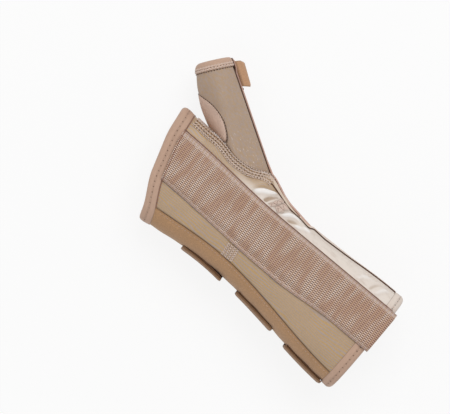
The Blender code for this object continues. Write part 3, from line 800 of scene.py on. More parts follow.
def sateen_group():
    """Sateen whose fine ribs beat into wavy lines: a drifting cosine across it, stronger in patches."""
    found = bpy.data.node_groups.get("sateen_lines")
    if found:
        return found
    tree, nodes, given, put = new_group(
        "sateen_lines",
        (("Vector", "Vector", None), ("Pitch", "Float", 0.0013), ("Color", "Color", None), ("Line", "Color", None),
         ("Glint", "Color", None)),
        (("Color", "Color"), ("Height", "Float")))
    cloth = given["Vector"]
    x = nodes.split(cloth)[0]
    drift = nodes.noise(nodes.stretch(cloth, 70.0, 26.0), 1.0, 2.0, 0.5)
    line = nodes.wave(nodes.math("MULTIPLY_ADD", drift, 5.0, nodes.over(x, given["Pitch"])))
    patch = nodes.step(nodes.noise(nodes.stretch(cloth, 45.0, 30.0), 1.0, 2.0), 0.3, 0.65)
    yarn = nodes.weave(cloth, 0.00042, 0.0006, 0.7, 0.4)
    sharp = nodes.step(line, 0.2, 0.8)
    share = nodes.blend(nodes.math("MULTIPLY_ADD", patch, 0.65, 0.35), 0.5, sharp)
    lines = nodes.mix(share, given["Color"], given["Line"])
    speck = nodes.step(nodes.noise(cloth, 1100.0, 2.0, 0.6), 0.35, 0.75)
    nodes.feed(put["Color"], nodes.mix(nodes.times(speck, 0.45), lines, given["Glint"]))
    nodes.feed(put["Height"], nodes.blend(0.35, yarn["Height"], line))
    return tree


def sateen_lines(nodes, uv):
    return nodes.group(sateen_group(), {"Vector": uv, "Pitch": sizes().sateen_pitch, "Color": tuple(palette().khaki),
                                        "Line": tuple(palette().khaki_line), "Glint": scaled(palette().khaki, 1.3)})


def khaki_sateen(name):
    """Sateen with wavy grey and yellow lines."""
    material, nodes, shader = new_material(name)
    sateen = sateen_lines(nodes, nodes.uv())
    close_cloth(nodes, shader, sateen["Color"], sateen["Height"], 0.00012, seam=0.4)
    set_gloss(shader, 0.5, 0.12)
    return material


def cream_satin(name):
    """Glossy satin, cream at the wrist and forearm and khaki toward the fingers, the cream partly its own colour and
    partly painted sheen, with painted highlights on the folds' ridges and painted shade in creases and hollows.
    """
    material, nodes, shader = new_material(name)
    uv = nodes.uv()
    x, y, _ = nodes.split(nodes.place())
    yarn = nodes.weave(uv, 0.00035, 0.0005, 0.85, 0.35)
    crease = nodes.noise(nodes.stretch(uv, 160.0, 60.0), 1.0, 3.0, 0.6)
    satin = nodes.mix(yarn["Tone"], scaled(palette().cream, 0.93), scaled(palette().cream, 1.06))
    # Painted shade in the fine creases.
    satin = nodes.mix(nodes.times(nodes.step(crease, 0.5, 0.75), 0.3), satin, palette().cream_shade)
    sateen = sateen_lines(nodes, uv)
    # The cream stays where the satin faces the light and along the tape, and gives way to khaki sateen beyond the fold
    # toward the fingers: partly the panel's own colours, partly painted sheen.
    slant = nodes.plus(nodes.times(x, 0.894), nodes.times(y, 0.447))
    by_tape = nodes.times(nodes.step(x, 0.0250, 0.0195), nodes.step(y, 0.0780, 0.0600))
    khaki_share = nodes.flip(nodes.times(by_tape, 0.6))
    toward_fingers = nodes.times(nodes.step(slant, 0.0414, 0.0442), khaki_share)
    base = nodes.mix(toward_fingers, satin, sateen["Color"])
    relief = nodes.put("Attribute", attribute_name="relief").outputs["Fac"]
    ridge = nodes.step(relief, 0.0002, 0.0011)
    hollow_shade = nodes.step(nodes.times(relief, -1.0), 0.0001, 0.0011)
    # Painted highlight on the folds' ridges and painted shade in their hollows, from the folds' relief.
    base = nodes.mix(ridge, base, palette().cream_highlight)
    base = nodes.mix(nodes.times(hollow_shade, 0.85), base, palette().cream_shade)
    close_cloth(nodes, shader, base, nodes.blend(0.5, yarn["Height"], crease), 0.00010, seam=0.3, blotch=0.07)
    set_gloss(shader, 0.34, 0.15, 0.35, 0.55)
    return material


def brushed_cloth(name, colour, flecks, depth, seam=0.3):
    """Brushed pile: short fibres in all directions, with lighter tips and a soft sheen."""
    material, nodes, shader = new_material(name)
    uv = nodes.uv()
    pile = nodes.noise(uv, 1500.0, 4.0, 0.75)
    tuft = nodes.noise(uv, 420.0, 3.0, 0.6)
    base = nodes.mix(nodes.step(pile, 0.3, 0.7), scaled(colour, 1 - flecks), scaled(colour, 1 + flecks))
    base = nodes.mix(nodes.times(nodes.step(tuft, 0.52, 0.7), 0.4), base, scaled(colour, 1 + 1.5 * flecks))
    close_cloth(nodes, shader, base, nodes.blend(0.4, pile, tuft), depth, seam=seam)
    set_gloss(shader, 0.92, 0.3, 0.6, 0.2)
    return material


def binding_tape(name, colour, line=None):
    """Folded binding tape: fine slanted ribs, and a sewn row of needle holes where a line is given, with painted shade
    in the holes and along their furrow.
    """
    material, nodes, shader = new_material(name)
    uv = nodes.uv()
    yarn = nodes.weave(uv, 0.0008, 0.0009, 0.75, 0.45)
    base = nodes.mix(yarn["Tone"], scaled(colour, 0.84), scaled(colour, 1.14))
    x, y, _ = nodes.split(nodes.place())
    toward_forearm = nodes.step(nodes.times(y, -1.0), 0.060, 0.066)
    pale = nodes.times(nodes.step(x, 0.004, 0.022), toward_forearm)
    base = nodes.mix(nodes.times(pale, 0.85), base, palette().cream)
    height = nodes.times(yarn["Height"], 0.25)
    if line is not None:
        row = nodes.group(needle_group(), {"Vector": uv, "Line": line, "Pitch": sizes().hem_stitch,
                                           "Radius": 0.00055})
        # Painted shade in the needle holes and in the furrow along them.
        base = nodes.mix(nodes.times(row["Furrow"], 0.16), base, palette().thread_dark)
        base = nodes.mix(nodes.times(row["Hole"], 0.7), base, palette().thread_dark)
        height = nodes.minus(height, nodes.times(row["Furrow"], 0.6))
        height = nodes.minus(height, nodes.times(row["Hole"], 0.8))
    close_cloth(nodes, shader, base, height, 0.00035, seam=0.4, reach=0.0009)
    set_gloss(shader, 0.7, 0.15)
    return material


def radial_tape(name):
    """Binding of two strips: cream beside the seam, and a pinker roll along its outer edge."""
    material, nodes, shader = new_material(name)
    uv = nodes.uv()
    x = nodes.split(uv)[0]
    yarn = nodes.weave(uv, 0.0008, 0.0009, 0.75, 0.45)
    y = nodes.split(nodes.place())[1]
    flap = nodes.step(y, 0.006, 0.010)
    edge = nodes.blend(flap, 0.0030, 0.0042)
    strip = nodes.mix(flap, palette().cream, palette().cream_tape)
    roll = nodes.mix(flap, nodes.mix(0.65, palette().peach, palette().cream_tape), palette().peach)
    colour = nodes.mix(nodes.step(x, edge, nodes.plus(edge, 0.0005)), roll, strip)
    base = nodes.mix(nodes.times(yarn["Tone"], 0.12), colour, palette().thread_dark)
    close_cloth(nodes, shader, base, yarn["Height"], 0.0001, seam=0.0, blotch=0.08, reach=0.0005)
    set_gloss(shader, 0.65, 0.15)
    return material


def ribbed_webbing(name):
    """Heavy tape: ribs across it, each of short lengthwise strands set like bricks, with painted shade in the grooves
    between strands and painted glints in patches, and paler selvedges.
    """
    material, nodes, shader = new_material(name)
    uv = nodes.uv()
    x, y, _ = nodes.split(uv)
    row = nodes.over(y, sizes().rib_pitch)
    half = nodes.times(nodes.math("FLOOR", row), 0.5)
    strand = nodes.wave(nodes.plus(nodes.over(x, sizes().strand_pitch), half))
    middle = nodes.math("ABSOLUTE", nodes.minus(nodes.math("FRACT", row), 0.5))
    rib = nodes.flip(nodes.step(middle, 0.34, 0.5))
    # Painted glints: in patches the strands' crests are painted lighter and the grooves between them darker; the
    # grooves are painted shade between the strands.
    glint = nodes.step(nodes.noise(nodes.stretch(uv, 34.0, 130.0), 1.0, 2.0, 0.5), 0.38, 0.66)
    fibre = nodes.noise(nodes.stretch(uv, 2600.0, 900.0), 1.0, 3.0, 0.7)
    groove = nodes.mix(glint, palette().webbing_groove_shade, scaled(palette().webbing_groove_shade, 0.42))
    crest = nodes.mix(glint, palette().webbing, palette().webbing_light)
    strands = nodes.mix(nodes.step(strand, 0.15, 0.85), groove, crest)
    line = nodes.mix(fibre, scaled(palette().webbing_line, 0.85), scaled(palette().webbing_line, 1.15))
    base = nodes.mix(rib, line, strands)
    rung = nodes.step(nodes.wave(row), 0.3, 0.7)
    selvedge = nodes.mix(rung, palette().selvedge_rung, palette().selvedge)
    edge = nodes.border()
    margin = nodes.blend(nodes.step(x, 0.015, 0.020), 0.0018, 0.0036)
    inside = nodes.step(edge, margin, nodes.plus(margin, 0.0013))
    base = nodes.mix(inside, nodes.mix(0.3, selvedge, base), base)
    sewn = nodes.wave(nodes.over(edge, 0.0012))
    rim = nodes.times(sewn, nodes.flip(nodes.step(edge, 0.0014, 0.0018)))
    base = nodes.mix(nodes.times(rim, 0.75), base, palette().thread_brown)
    height = nodes.math("MULTIPLY_ADD", strand, nodes.times(rib, 0.8), nodes.times(fibre, 0.2))
    close_cloth(nodes, shader, base, height, 0.00028, seam=0.5, blotch=0.08, reach=0.0008)
    set_gloss(shader, 0.55, 0.12)
    return material


def brown_strap(name):
    """Firm strap: close ribs across it, over a rough face."""
    material, nodes, shader = new_material(name)
    uv = nodes.uv()
    yarn = nodes.weave(uv, 0.0011, 0.0008, 0.15, 0.5)
    base = nodes.mix(yarn["Tone"], scaled(palette().strap, 0.6), scaled(palette().strap, 1.45))
    close_cloth(nodes, shader, base, yarn["Height"], 0.00025, seam=0.3)
    set_gloss(shader, 0.8, 0.2)
    return material


def hook_tape(name):
    """Hook tape: even rows of small hooks on a dark backing."""
    material, nodes, shader = new_material(name)
    uv = nodes.uv()
    x, y, _ = nodes.split(uv)
    rows = nodes.over(y, 0.0010)
    shift = nodes.times(nodes.math("FLOOR", rows), 0.5)
    hook = nodes.times(nodes.wave(nodes.plus(nodes.over(x, 0.0010), shift)), nodes.wave(rows))
    tip = nodes.step(hook, 0.3, 0.7)
    base = nodes.mix(tip, scaled(palette().hook, 0.7), scaled(palette().hook, 1.9))
    close_cloth(nodes, shader, base, hook, 0.0005)
    set_gloss(shader, 0.5, 0.0)
    return material


def thumb_cloth(name):
    """Close smooth cloth with a fine grain, and pale flecks where it is handled at the thumb's base."""
    material, nodes, shader = new_material(name)
    uv = nodes.uv()
    y = nodes.split(uv)[1]
    yarn = nodes.weave(uv, 0.0005, 0.0007, 0.4, 0.55)
    base = nodes.mix(yarn["Tone"], scaled(palette().thumb, 0.80), scaled(palette().thumb, 1.18))
    grain = nodes.step(nodes.noise(uv, 430.0, 3.0, 0.7), 0.38, 0.62)
    base = nodes.mix(nodes.times(grain, 0.6), base, palette().khaki_line)
    fleck = nodes.step(nodes.noise(uv, 620.0, 3.0, 0.6), 0.60, 0.70)
    low = nodes.math("MULTIPLY_ADD", nodes.step(y, 0.006, 0.040), -0.5, 0.62)
    base = nodes.mix(nodes.times(fleck, low), base, palette().cream)
    close_cloth(nodes, shader, base, yarn["Height"], 0.00012, blotch=0.1)
    set_gloss(shader, 0.62, 0.15)
    return material


def brushed_aluminium(name):
    """Bare strip with fine scratches along its length and duller, worn places."""
    material, nodes, shader = new_material(name)
    place = nodes.place()
    grain = nodes.noise(nodes.stretch(place, 3200.0, 60.0, 3200.0), 1.0, 3.0, 0.6)
    worn = nodes.noise(place, 60.0, 3.0, 0.6)
    nodes.feed(shader.inputs["Base Color"], nodes.mix(grain, scaled(palette().metal, 0.85), palette().metal))
    nodes.feed(shader.inputs["Roughness"], nodes.blend(worn, 0.28, 0.5))
    bump = nodes.put("Bump", {"Strength": 0.5, "Distance": 0.00003, "Height": grain})
    nodes.feed(shader.inputs["Normal"], bump.outputs[0])
    shader.inputs["Metallic"].default_value = 1.0
    return material


def sewing_thread(name):
    """Twisted thread: slanted plies along it, in the palette's colour of the same name."""
    colour = getattr(palette(), name.removeprefix("splint_"))
    material, nodes, shader = new_material(name)
    x, y, _ = nodes.split(nodes.uv())
    ply = nodes.wave(nodes.plus(nodes.over(y, 0.0005), nodes.over(x, 0.0008)))
    nodes.feed(shader.inputs["Base Color"], nodes.mix(ply, scaled(colour, 0.75), scaled(colour, 1.15)))
    bump = nodes.put("Bump", {"Strength": 1.0, "Distance": 0.00006, "Height": ply})
    nodes.feed(shader.inputs["Normal"], bump.outputs[0])
    set_gloss(shader, 0.6, 0.1)
    return material


THREADS = ("thread_pale", "thread_pink", "thread_band", "thread_brown", "thread_dark")
FINISHES = {
    "khaki": khaki_sateen,
    "cream": cream_satin,
    "tan_loop": lambda name: brushed_cloth(name, palette().tan_loop, 0.22, 0.0003),
    "binding": lambda name: binding_tape(name, palette().binding, sizes().hem_line),
    "edge_tape": lambda name: binding_tape(name, palette().binding),
    "peach": lambda name: binding_tape(name, palette().peach),
    "lining": lambda name: brushed_cloth(name, palette().lining, 0.08, 0.0003, seam=0.15),
    "radial_tape": radial_tape,
    "webbing": ribbed_webbing,
    "metal": brushed_aluminium,
    "strap": brown_strap,
    "hook": hook_tape,
    "thumb": thumb_cloth,
    "gusset": lambda name: plain_cloth(name, palette().gusset, (0.0009, 0.0007, 0.2, 0.45), 0.13, 0.00018,
                                       (0.75, 0.15)),
    "tab": lambda name: brushed_cloth(name, palette().tab, 0.16, 0.0003),
    **dict.fromkeys(THREADS, sewing_thread),
}
SLOTS = {finish: finish for finish in FINISHES}
SLOTS.update(edge_tape="binding", radial_tape="peach", thread_band="webbing", thread_pale="binding",
             thread_pink="webbing", thread_brown="webbing", thread_dark="strap")


def finish_material(finish):
    name = "splint_" + finish
    return bpy.data.materials.get(name) or FINISHES[finish](name)


# Sleeve pieces
# Plan ends of the radial tack's three lines: one ladder lies between the first two, one between the last two
RADIAL_TACK = (((0.0316, 0.0172), (0.0406, 0.0121)), ((0.0322, 0.0132), (0.0396, 0.0090)),
               ((0.0324, 0.0064), (0.0382, 0.0028)))
# Folds of the satin: plan x and y of the start, x and y of the end, width, height
FOLDS = np.array((
    (0.0312, 0.0308, 0.0424, 0.0168, 0.0020, 0.0014),
    (0.0309, 0.0207, 0.0411, 0.0139, 0.0016, -0.0014),
    (0.0375, 0.0310, 0.0432, 0.0200, 0.0018, -0.0006),
    (0.0333, 0.0034, 0.0370, -0.0063, 0.0017, 0.0016),
    (0.0310, 0.0000, 0.0348, -0.0113, 0.0018, -0.0010),
    (0.0312, -0.0072, 0.0356, -0.0177, 0.0022, 0.0015),
    (0.0332, -0.0170, 0.0366, -0.0265, 0.0022, -0.0006),
    (0.0330, -0.0640, 0.0390, -0.0740, 0.0020, 0.0007),
    (0.0310, -0.0750, 0.0380, -0.0800, 0.0016, -0.0006),
    (0.0330, -0.0810, 0.0390, -0.0880, 0.0020, 0.0007),
))


def satin_folds(points):
    """Folds of the satin: round ridges and hollows along straight lines in plan, faded at their ends."""
    height = np.zeros(points.shape[:2])
    for x0, y0, x1, y1, width, rise in FOLDS:
        length = math.hypot(x1 - x0, y1 - y0)
        along = ((points[..., 0] - x0) * (x1 - x0) + (points[..., 1] - y0) * (y1 - y0)) / length
        off = ((points[..., 0] - x0) * (y1 - y0) - (points[..., 1] - y0) * (x1 - x0)) / length
        bend = off + 0.0012 * np.sin(along * 260.0)
        height += rise * bell(bend, width) * ease(-0.006, 0.003, along) * (1 - ease(length, length + 0.006, along))
    x, y = points[..., 0], points[..., 1]
    below_tack = (x - RADIAL_TACK[0][0][0]) * 0.493 + (y - RADIAL_TACK[0][0][1]) * 0.870
    tacked = ease(-0.0105, -0.0095, below_tack) * (1 - ease(-0.0008, 0.0012, below_tack))
    room = ease(0.0002, 0.0022, x - webbing_side(y)) * ease(0.0, 0.0026, flap_edge(y) - x) * (1 - tacked)
    return height * sizes().fold_height / 0.0017 * room


def soft_waves(points):
    """Slow unevenness of sewn cloth: three sine waves of unlike length and direction."""
    x, y = points[..., 0], points[..., 1]
    return 0.00012 * (np.sin(x * 210 + y * 60) + np.sin(y * 170 - x * 90 + 1.3) + np.sin(y * 331 + x * 240 + 0.4))


def sleeve_grid(first, second, rows, columns, start, end):
    """Rows from hem to hem and columns between two turns; both settle together at the slanted edge."""
    row, column = rows[:, None], columns[None, :]
    y = lerp(start, DISTAL_Y - DISTAL_HEM, row) + 0.0 * column
    for _ in range(6):
        turn = lerp(first(y), second(y), column)
        y = lerp(start, end(turn), row)
    return y, turn


def pillow(border, swell, sink):
    """Layer of sewn cloth: it swells away from its borders and sinks into a groove at them."""
    return swell * (1.0 - np.exp(-border / 0.006)) - sink * bell(border, 0.0010)


def sleeve_panel(name, first, second, counts, finish, relief=None, swell=PANEL_SWELL, sink=PANEL_SINK):
    tuck = 0.0012
    y, turn = sleeve_grid(first, second, spread(counts[0]), spread(counts[1]), PROXIMAL_Y + PROXIMAL_HEM - tuck,
                          lambda turn: distal_edge(turn) - DISTAL_HEM + tuck)
    flat = sleeve_point(y, turn, 0.0)
    lengths = cloth_lengths(flat)
    layer = pillow(lengths[2], swell, sink) + soft_waves(flat) * ease(0.0, 0.006, lengths[2])
    folds = relief(flat) * ease(0.0, 0.003, lengths[2]) if relief else 0.0 * layer
    piece = sheet_piece(name, sleeve_point(y, turn, layer + folds), sleeve_point(y, turn, -SKIN + 0.0 * layer),
                        finish, "sleeve", lengths, (name,))
    mark_points(piece.data, "relief", np.tile(folds.ravel(), 2))
    return declare_sheet(piece, flat)


def declare_sheet(piece, flat):
    """Returns the piece as it is; a narrow tape and a wider sheet of cloth are treated alike."""
    across, along, _ = cloth_lengths(flat)
    if across[:, -1].max() < NARROW_TAPE:
        return piece
    return piece


def lining_panel(name, first, second, counts):
    tuck = 0.0016
    y, turn = sleeve_grid(first, second, spread(counts[0], 0.3), spread(counts[1], 0.3), PROXIMAL_Y + tuck,
                          lambda turn: distal_edge(turn) - tuck)
    flat = sleeve_point(y, turn, LINING_IN)
    lengths = cloth_lengths(flat)
    puff = pillow(lengths[2], 0.0002, 0.0004)
    piece = sheet_piece(name, sleeve_point(y, turn, LINING_OUT + 0.0 * puff),
                        sleeve_point(y, turn, LINING_IN - puff), "lining", "sleeve", lengths, (name,))
    return declare_sheet(piece, flat)


def hem_profile(width):
    """U of folded tape as a closed loop: outer leaf, rolled edge, inner leaf, and back 0.6 mm inside it.

    Returns the distance from the sewn side, the layer, and the running length along the loop.
    """
    roll, thick, proud = 0.0024, 0.0006, 0.0005
    leaf = np.concatenate(([0.0, 0.0002], np.linspace(0.0006, width - roll, 9)))
    bend = np.linspace(math.pi / 2, -math.pi / 2, 13)[1:-1]
    top, bottom = proud, LINING_IN - proud
    middle, half = (top + bottom) / 2, (top - bottom) / 2
    crown = 0.0003 * np.sin(math.pi * np.clip(leaf / width, 0, 1))
    lip = -0.0005 * bell(leaf, 0.0004)
    out_d = np.concatenate((leaf, width - roll + roll * np.cos(bend), leaf[::-1]))
    out_l = np.concatenate((top + crown + lip, middle + half * np.sin(bend), (bottom - crown - lip)[::-1]))
    in_d = np.concatenate((leaf, width - roll + (roll - thick) * np.cos(bend), leaf[::-1]))
    in_l = np.concatenate((top - thick + crown + 0.0 * lip, middle + (half - thick) * np.sin(bend),
                           (bottom + thick - crown)[::-1]))
    distance, layer = np.concatenate((out_d, in_d[::-1])), np.concatenate((out_l, in_l[::-1]))
    step = np.hypot(np.diff(distance), np.diff(layer))
    return distance, layer, np.concatenate(([0.0], np.cumsum(step)))


def hem_piece(name, points, run, body, finish="binding"):
    """Binding from a profile carried along an edge: rows follow the edge, columns the closed profile."""
    rows, columns = points.shape[:2]
    along = run_lengths(points, 0)[:, :1] + 0.0 * run
    faces = grid_faces(rows, columns, wrap=True).tolist()
    half = columns // 2
    ends = np.stack((np.arange(half - 1), np.arange(1, half), columns - 1 - np.arange(1, half),
                     columns - 1 - np.arange(half - 1)), axis=-1)
    faces += ends.tolist() + ((rows - 1) * columns + ends[:, ::-1]).tolist()
    uv = np.stack((run + 0.0 * along, along), axis=-1).reshape(-1, 2)
    near = np.minimum(run, np.abs(run - run[half - 1])) + 0.0 * along
    return add_piece(name, points.reshape(-1, 3), faces, finish, body, uv, near.ravel(), (name,))


def sleeve_hem(name, width, edge, inward):
    distance, layer, run = hem_profile(width)
    share = np.linspace(0.0, 1.0, 241)[:, None]
    turn = lerp(opening_radial(DISTAL_Y if inward < 0 else PROXIMAL_Y),
                opening_ulnar(DISTAL_Y if inward < 0 else PROXIMAL_Y), share)
    y = edge(turn) + inward * (width - distance)
    pucker = 0.00012 * np.sin(share * 900.0) * bell(distance - sizes().hem_line, 0.002)
    return hem_piece(name, sleeve_point(y, turn + 0.0 * y, layer + pucker * (layer > -0.001)), run, "sleeve")


def radial_binding():
    """Flap beyond the radial seam: a low hump across it, from the hem to its pointed end at the thumb."""
    row, column = spread(170, 0.2)[:, None], np.linspace(0.0, 1.0, 19)[None, :]
    y = lerp(PROXIMAL_Y + PROXIMAL_HEM + GAP, FLAP_END, row) + 0.0 * column
    turn = flap_turn(y, column)
    flat = sleeve_point(y, turn, 0.0)
    return sheet_piece("radial_edge_binding", sleeve_point(y, turn, flap_layer(y, column)),
                       sleeve_point(y, turn, -0.0004), "radial_tape", "sleeve", cloth_lengths(flat),
                       ("radial_edge_binding",))


def webbing_ulnar(y):
    """Ulnar selvedge: straight at its ends, bowed outwards at the wrist."""
    return WEBBING_ULNAR_X - WEBBING_BOW * ease(-0.068, -0.022, y) * (1 - ease(-0.010, 0.083, y))


def webbing_side(y):
    return WEBBING_RADIAL_X + WEBBING_SPREAD * ease(0.0, DISTAL_Y, y)


def webbing_height(x, y):
    """Under face of the tape: flat over the stay, then eased down to the sewn selvedges on the sleeve."""
    off = np.abs(x - STAY_X)
    raised = 1.0 - ease(STAY_HALF, STAY_HALF + WEBBING_SLOPE + 0.0015, off)
    sewn = sleeve_point(y, turn_at_x(x, y, GAP, 1), GAP)[..., 2]
    return lerp(sewn, top_at(y) + 2 * GAP + STAY_THICK, raised)


def webbing_piece():
    """Tape over the stay: a grid across and along it, doubled at its mouth, with shallow cross ribs."""
    start = PROXIMAL_Y - WEBBING_OVERHANG
    row, column = np.linspace(0.0, 1.0, 281)[:, None], spread(52, 0.4)[None, :]
    y = lerp(start, DISTAL_Y, row) + 0.0 * column
    for _ in range(6):
        x = lerp(webbing_ulnar(y), webbing_side(y), column)
        y = lerp(start, distal_edge(turn_at_x(x, y, 0.0, 1)) - DISTAL_HEM + 0.0008, row)
    under = webbing_height(x, y)
    flat = np.stack((x, y, under), axis=-1)
    across, along, _ = cloth_lengths(flat)
    side = np.minimum(across, across[:, -1:] - across)
    lip = MOUTH_LIP_THICK * (1.0 - ease(MOUTH_LIP, MOUTH_LIP + WEBBING_THICK, y - start))
    ribs = 0.00012 * np.abs(np.sin(math.pi * along / sizes().rib_pitch)) * ease(0.002, 0.005, side)
    round_side = 0.0006 * bell(side, 0.0008) + 0.0009 * bell(along, 0.0009)
    over = under + WEBBING_THICK - 0.00012 + ribs + lip - round_side
    outer = np.stack((x, y, over), axis=-1)
    return sheet_piece("stay_pocket_webbing", outer, flat, "webbing", "sleeve", (across, along, side),
                       ("stay_pocket_webbing",))


# Straps
STRAP_END = turn_of(164)
HOOK_START = turn_of(214)
TAIL_BLEND = lerp(HOOK_START, 1.5 * math.pi, 0.6)
# Lift of each tail's free end at its finger side and its elbow side, and the thickness left there
TAIL_FLARE = {"hand": (-0.0006, 0.0018), "wrist": (0.0002, -0.0006), "forearm": (0.0002, 0.0002)}
TAIL_SQUEEZE = 0.62
FOLD_REACH = 0.0016


def strap_grid(label, counts, inset=0.0):
    middle = STRAP_PLACES[label]
    row, column = spread(counts[0])[:, None], spread(counts[1])[None, :]
    half = STRAP_WIDTH / 2 - inset
    return middle + half * (2 * row - 1) + 0.0 * column, row, column


def strap_sheet(name, under, over, finish, body):
    """Strap layer with rounded edges: the outer face sinks by 28 % of the thickness at its border."""
    lengths = cloth_lengths(over)
    thickness = over - under
    outer = under + thickness * (1.0 - 0.28 * bell(lengths[2], 0.0009))[..., None]
    return sheet_piece(name, outer, under, finish, body, lengths, (name,))


def strap_base(label):
    """Sewn end: from the hinge line across the back, pressed flat where it meets the table."""
    y, _, column = strap_grid(label, (34, 40))
    x = lerp(STRAP_HINGE_GAP / 2, STRAP_SEWN_X, column)

    def face(layer):
        point = sleeve_point(y, FULL + turn_at_x(x, y, layer, -1), layer)
        point[..., 2] = np.maximum(point[..., 2], 0.0)
        return point

    return strap_sheet("strap_base_" + label, face(GAP), face(GAP + STRAP_THICK), "strap", "sleeve")


def tail_layer(label, turn, row):
    """Under face of a tail: on the sleeve at the hinge, over the hook patch beyond, flared at its end."""
    away = 1.0 - ease(HOOK_START, TAIL_BLEND, turn)
    finger_side, elbow_side = TAIL_FLARE[label]
    flare = lerp(elbow_side, finger_side, row) * ease(HOOK_START, STRAP_END, turn)
    return GAP + (HOOK_THICK + GAP) * away * squeeze(turn) + flare


def squeeze(turn):
    """Share of the thickness that is left toward a tail's pressed free end."""
    return lerp(1.0, TAIL_SQUEEZE, ease(HOOK_START, STRAP_END, turn))


def strap_tail(label):
    y, row, column = strap_grid(label, (34, 64))
    line = -STRAP_HINGE_GAP / 2

    def face(thick):
        first = FULL + turn_at_x(line, y, thick, -1)
        turn = lerp(first, STRAP_END, column)
        point = sleeve_point(y, turn, tail_layer(label, turn, row) + thick * squeeze(turn))
        point[..., 0] = np.minimum(point[..., 0], line)
        point[..., 2] = np.maximum(point[..., 2], TAIL_LIFT)
        return point

    return strap_sheet("strap_tail_" + label, face(0.0), face(STRAP_THICK), "strap", "strap_" + label)


def strap_fold(label):
    """Bend of the tape over the hinge line: a flat strip that rides on no body."""
    y, _, column = strap_grid(label, (14, 17), 0.0003)
    x = lerp(FOLD_REACH, -FOLD_REACH, column) + 0.0 * y
    inner, outer = (np.stack((x, y, share * STRAP_THICK + 0.0 * y), axis=-1) for share in (0.93, 0.14))
    piece = sheet_piece("strap_fold_" + label, outer, inner, "strap", None, cloth_lengths(outer))
    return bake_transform(piece)


def strap_hook(label):
    y, row, column = strap_grid(label, (30, 34), HOOK_MARGIN)
    turn = lerp(HOOK_START, STRAP_END + 0.006, column) + 0.0 * row
    over_layer = tail_layer(label, turn, row) - 0.0001
    under = sleeve_point(y, turn, np.maximum(over_layer - HOOK_THICK, GAP))
    over = sleeve_point(y, turn, over_layer)
    return strap_sheet("strap_hook_" + label, under, over, "hook", "strap_" + label)


# Thumb pieces
def thumb_panel(name, first, second, counts, ends, finish):
    """Sheet on the thumb loft between two angles, swelling a little between its seams."""
    row = lerp(ends[0], ends[1], spread(counts[0]))[:, None]
    angle = lerp(first(row), second(row), spread(counts[1])[None, :])
    share = even_hem(row, angle)
    flat = thumb_point(share, angle, 0.0)
    lengths = cloth_lengths(flat)
    layer = pillow(lengths[2], PANEL_SWELL, PANEL_SINK) + soft_waves(flat) * ease(0.0, 0.005, lengths[2])
    piece = sheet_piece(name, thumb_point(share, angle, layer), thumb_point(share, angle, -SKIN), finish,
                        "sleeve", lengths, (name,))
    return declare_sheet(piece, flat)


def thumb_lining():
    share = lerp(0.0, 0.985, spread(60, 0.3))[:, None]
    angle = lerp(THUMB_FIRST, THUMB_LAST, spread(90, 0.3)[None, :])
    flat = thumb_point(share, angle, LINING_IN - THUMB_LINING_EASE)
    lengths = cloth_lengths(flat)
    piece = sheet_piece("thumb_lining", thumb_point(share, angle, LINING_OUT - THUMB_LINING_EASE), flat, "lining",
                        "sleeve", lengths, ("thumb_lining",))
    return declare_sheet(piece, flat)


def thumb_hem():
    distance, layer, run = hem_profile(THUMB_HEM)
    angle = lerp(THUMB_FIRST, THUMB_LAST, np.linspace(0.0, 1.0, 121))[:, None]
    share = below_top(THUMB_HEM - distance, angle)
    return hem_piece("thumb_hem", thumb_point(share, angle, layer[None, :]), run, "sleeve", "edge_tape")


def slit_binding():
    """Rolled binding beyond the slit: a half-round crown from the back panel to the slit's edge."""
    row = lerp(0.0, SLIT_END, spread(120, 0.2))[:, None]
    column = np.linspace(0.0, 1.0, 15)[None, :]
    angle = lerp(FULL + SLIT_TURN - slit_angle(row), THUMB_LAST, column)
    share = even_hem(row, angle)
    crown = np.sqrt(np.clip(1.0 - (2 * column - 1) ** 2, 0.0, 1.0))
    flat = thumb_point(share, angle, 0.0)
    lift = 0.0009 * ease(SLIT_LIFT_FROM, SLIT_LIFT_TO, share)
    point = 1.0 - 0.75 * ease(0.950, SLIT_END, row)
    outer = thumb_point(share, angle, lift + THUMB_BINDING_THICK * (1.15 * crown * point - 0.1))
    inner = thumb_point(share, angle, lerp(-SKIN, 0.0004, ease(SLIT_LIFT_FROM, SLIT_LIFT_TO, share)))
    return sheet_piece("thumb_slit_binding", outer, inner, "peach", "sleeve", cloth_lengths(flat),
                       ("thumb_slit_binding",))


def tab_piece():
    """Tab: off the slit's binding over a bulge, rounder at the thumb's tip end, then down on the hooks."""
    root, seat = THUMB_BINDING_THICK + GAP, 2 * GAP + TAB_HOOK_THICK
    row, column = spread(30)[:, None], np.linspace(0.0, 1.0, 61)[None, :]
    angle = lerp(TAB_ROOT_TURN, TAB_END_TURN, column)
    corner = 1.0 - 0.34 * ease(0.84, 1.0, row) ** 2 - 0.06 * (1 - ease(0.0, 0.15, row))
    out = ease(TAB_ROOT_TURN, TAB_BULGE_TURN, angle)
    back = ease(TAB_BULGE_TURN, TAB_HOOK_TURN, angle)
    bulge = lerp(root, TAB_BULGE + 0.0006, out * corner)
    layer = lerp(bulge, seat, back)
    share = lerp(TAB_START, TAB_END, row) + 0.0 * column
    under = thumb_point(share, angle + 0.0 * row, layer)
    over = thumb_point(share, angle + 0.0 * row, layer + TAB_THICK)
    return strap_sheet("thumb_tab", under, over, "tab", "thumb_tab")


def tab_hook():
    row, column = spread(20)[:, None], spread(26)[None, :]
    angle = lerp(TAB_HOOK_TURN, TAB_END_TURN, column) + 0.0 * row
    share = lerp(TAB_START, TAB_END, row) + 0.0 * column
    under, over = thumb_point(share, angle, GAP), thumb_point(share, angle, GAP + TAB_HOOK_THICK)
    return strap_sheet("thumb_tab_hook", under, over,
                       "hook", "thumb_tab")


# Seam lines and stitching
def line_y(start, end, count=160):
    return np.linspace(start, end, count)


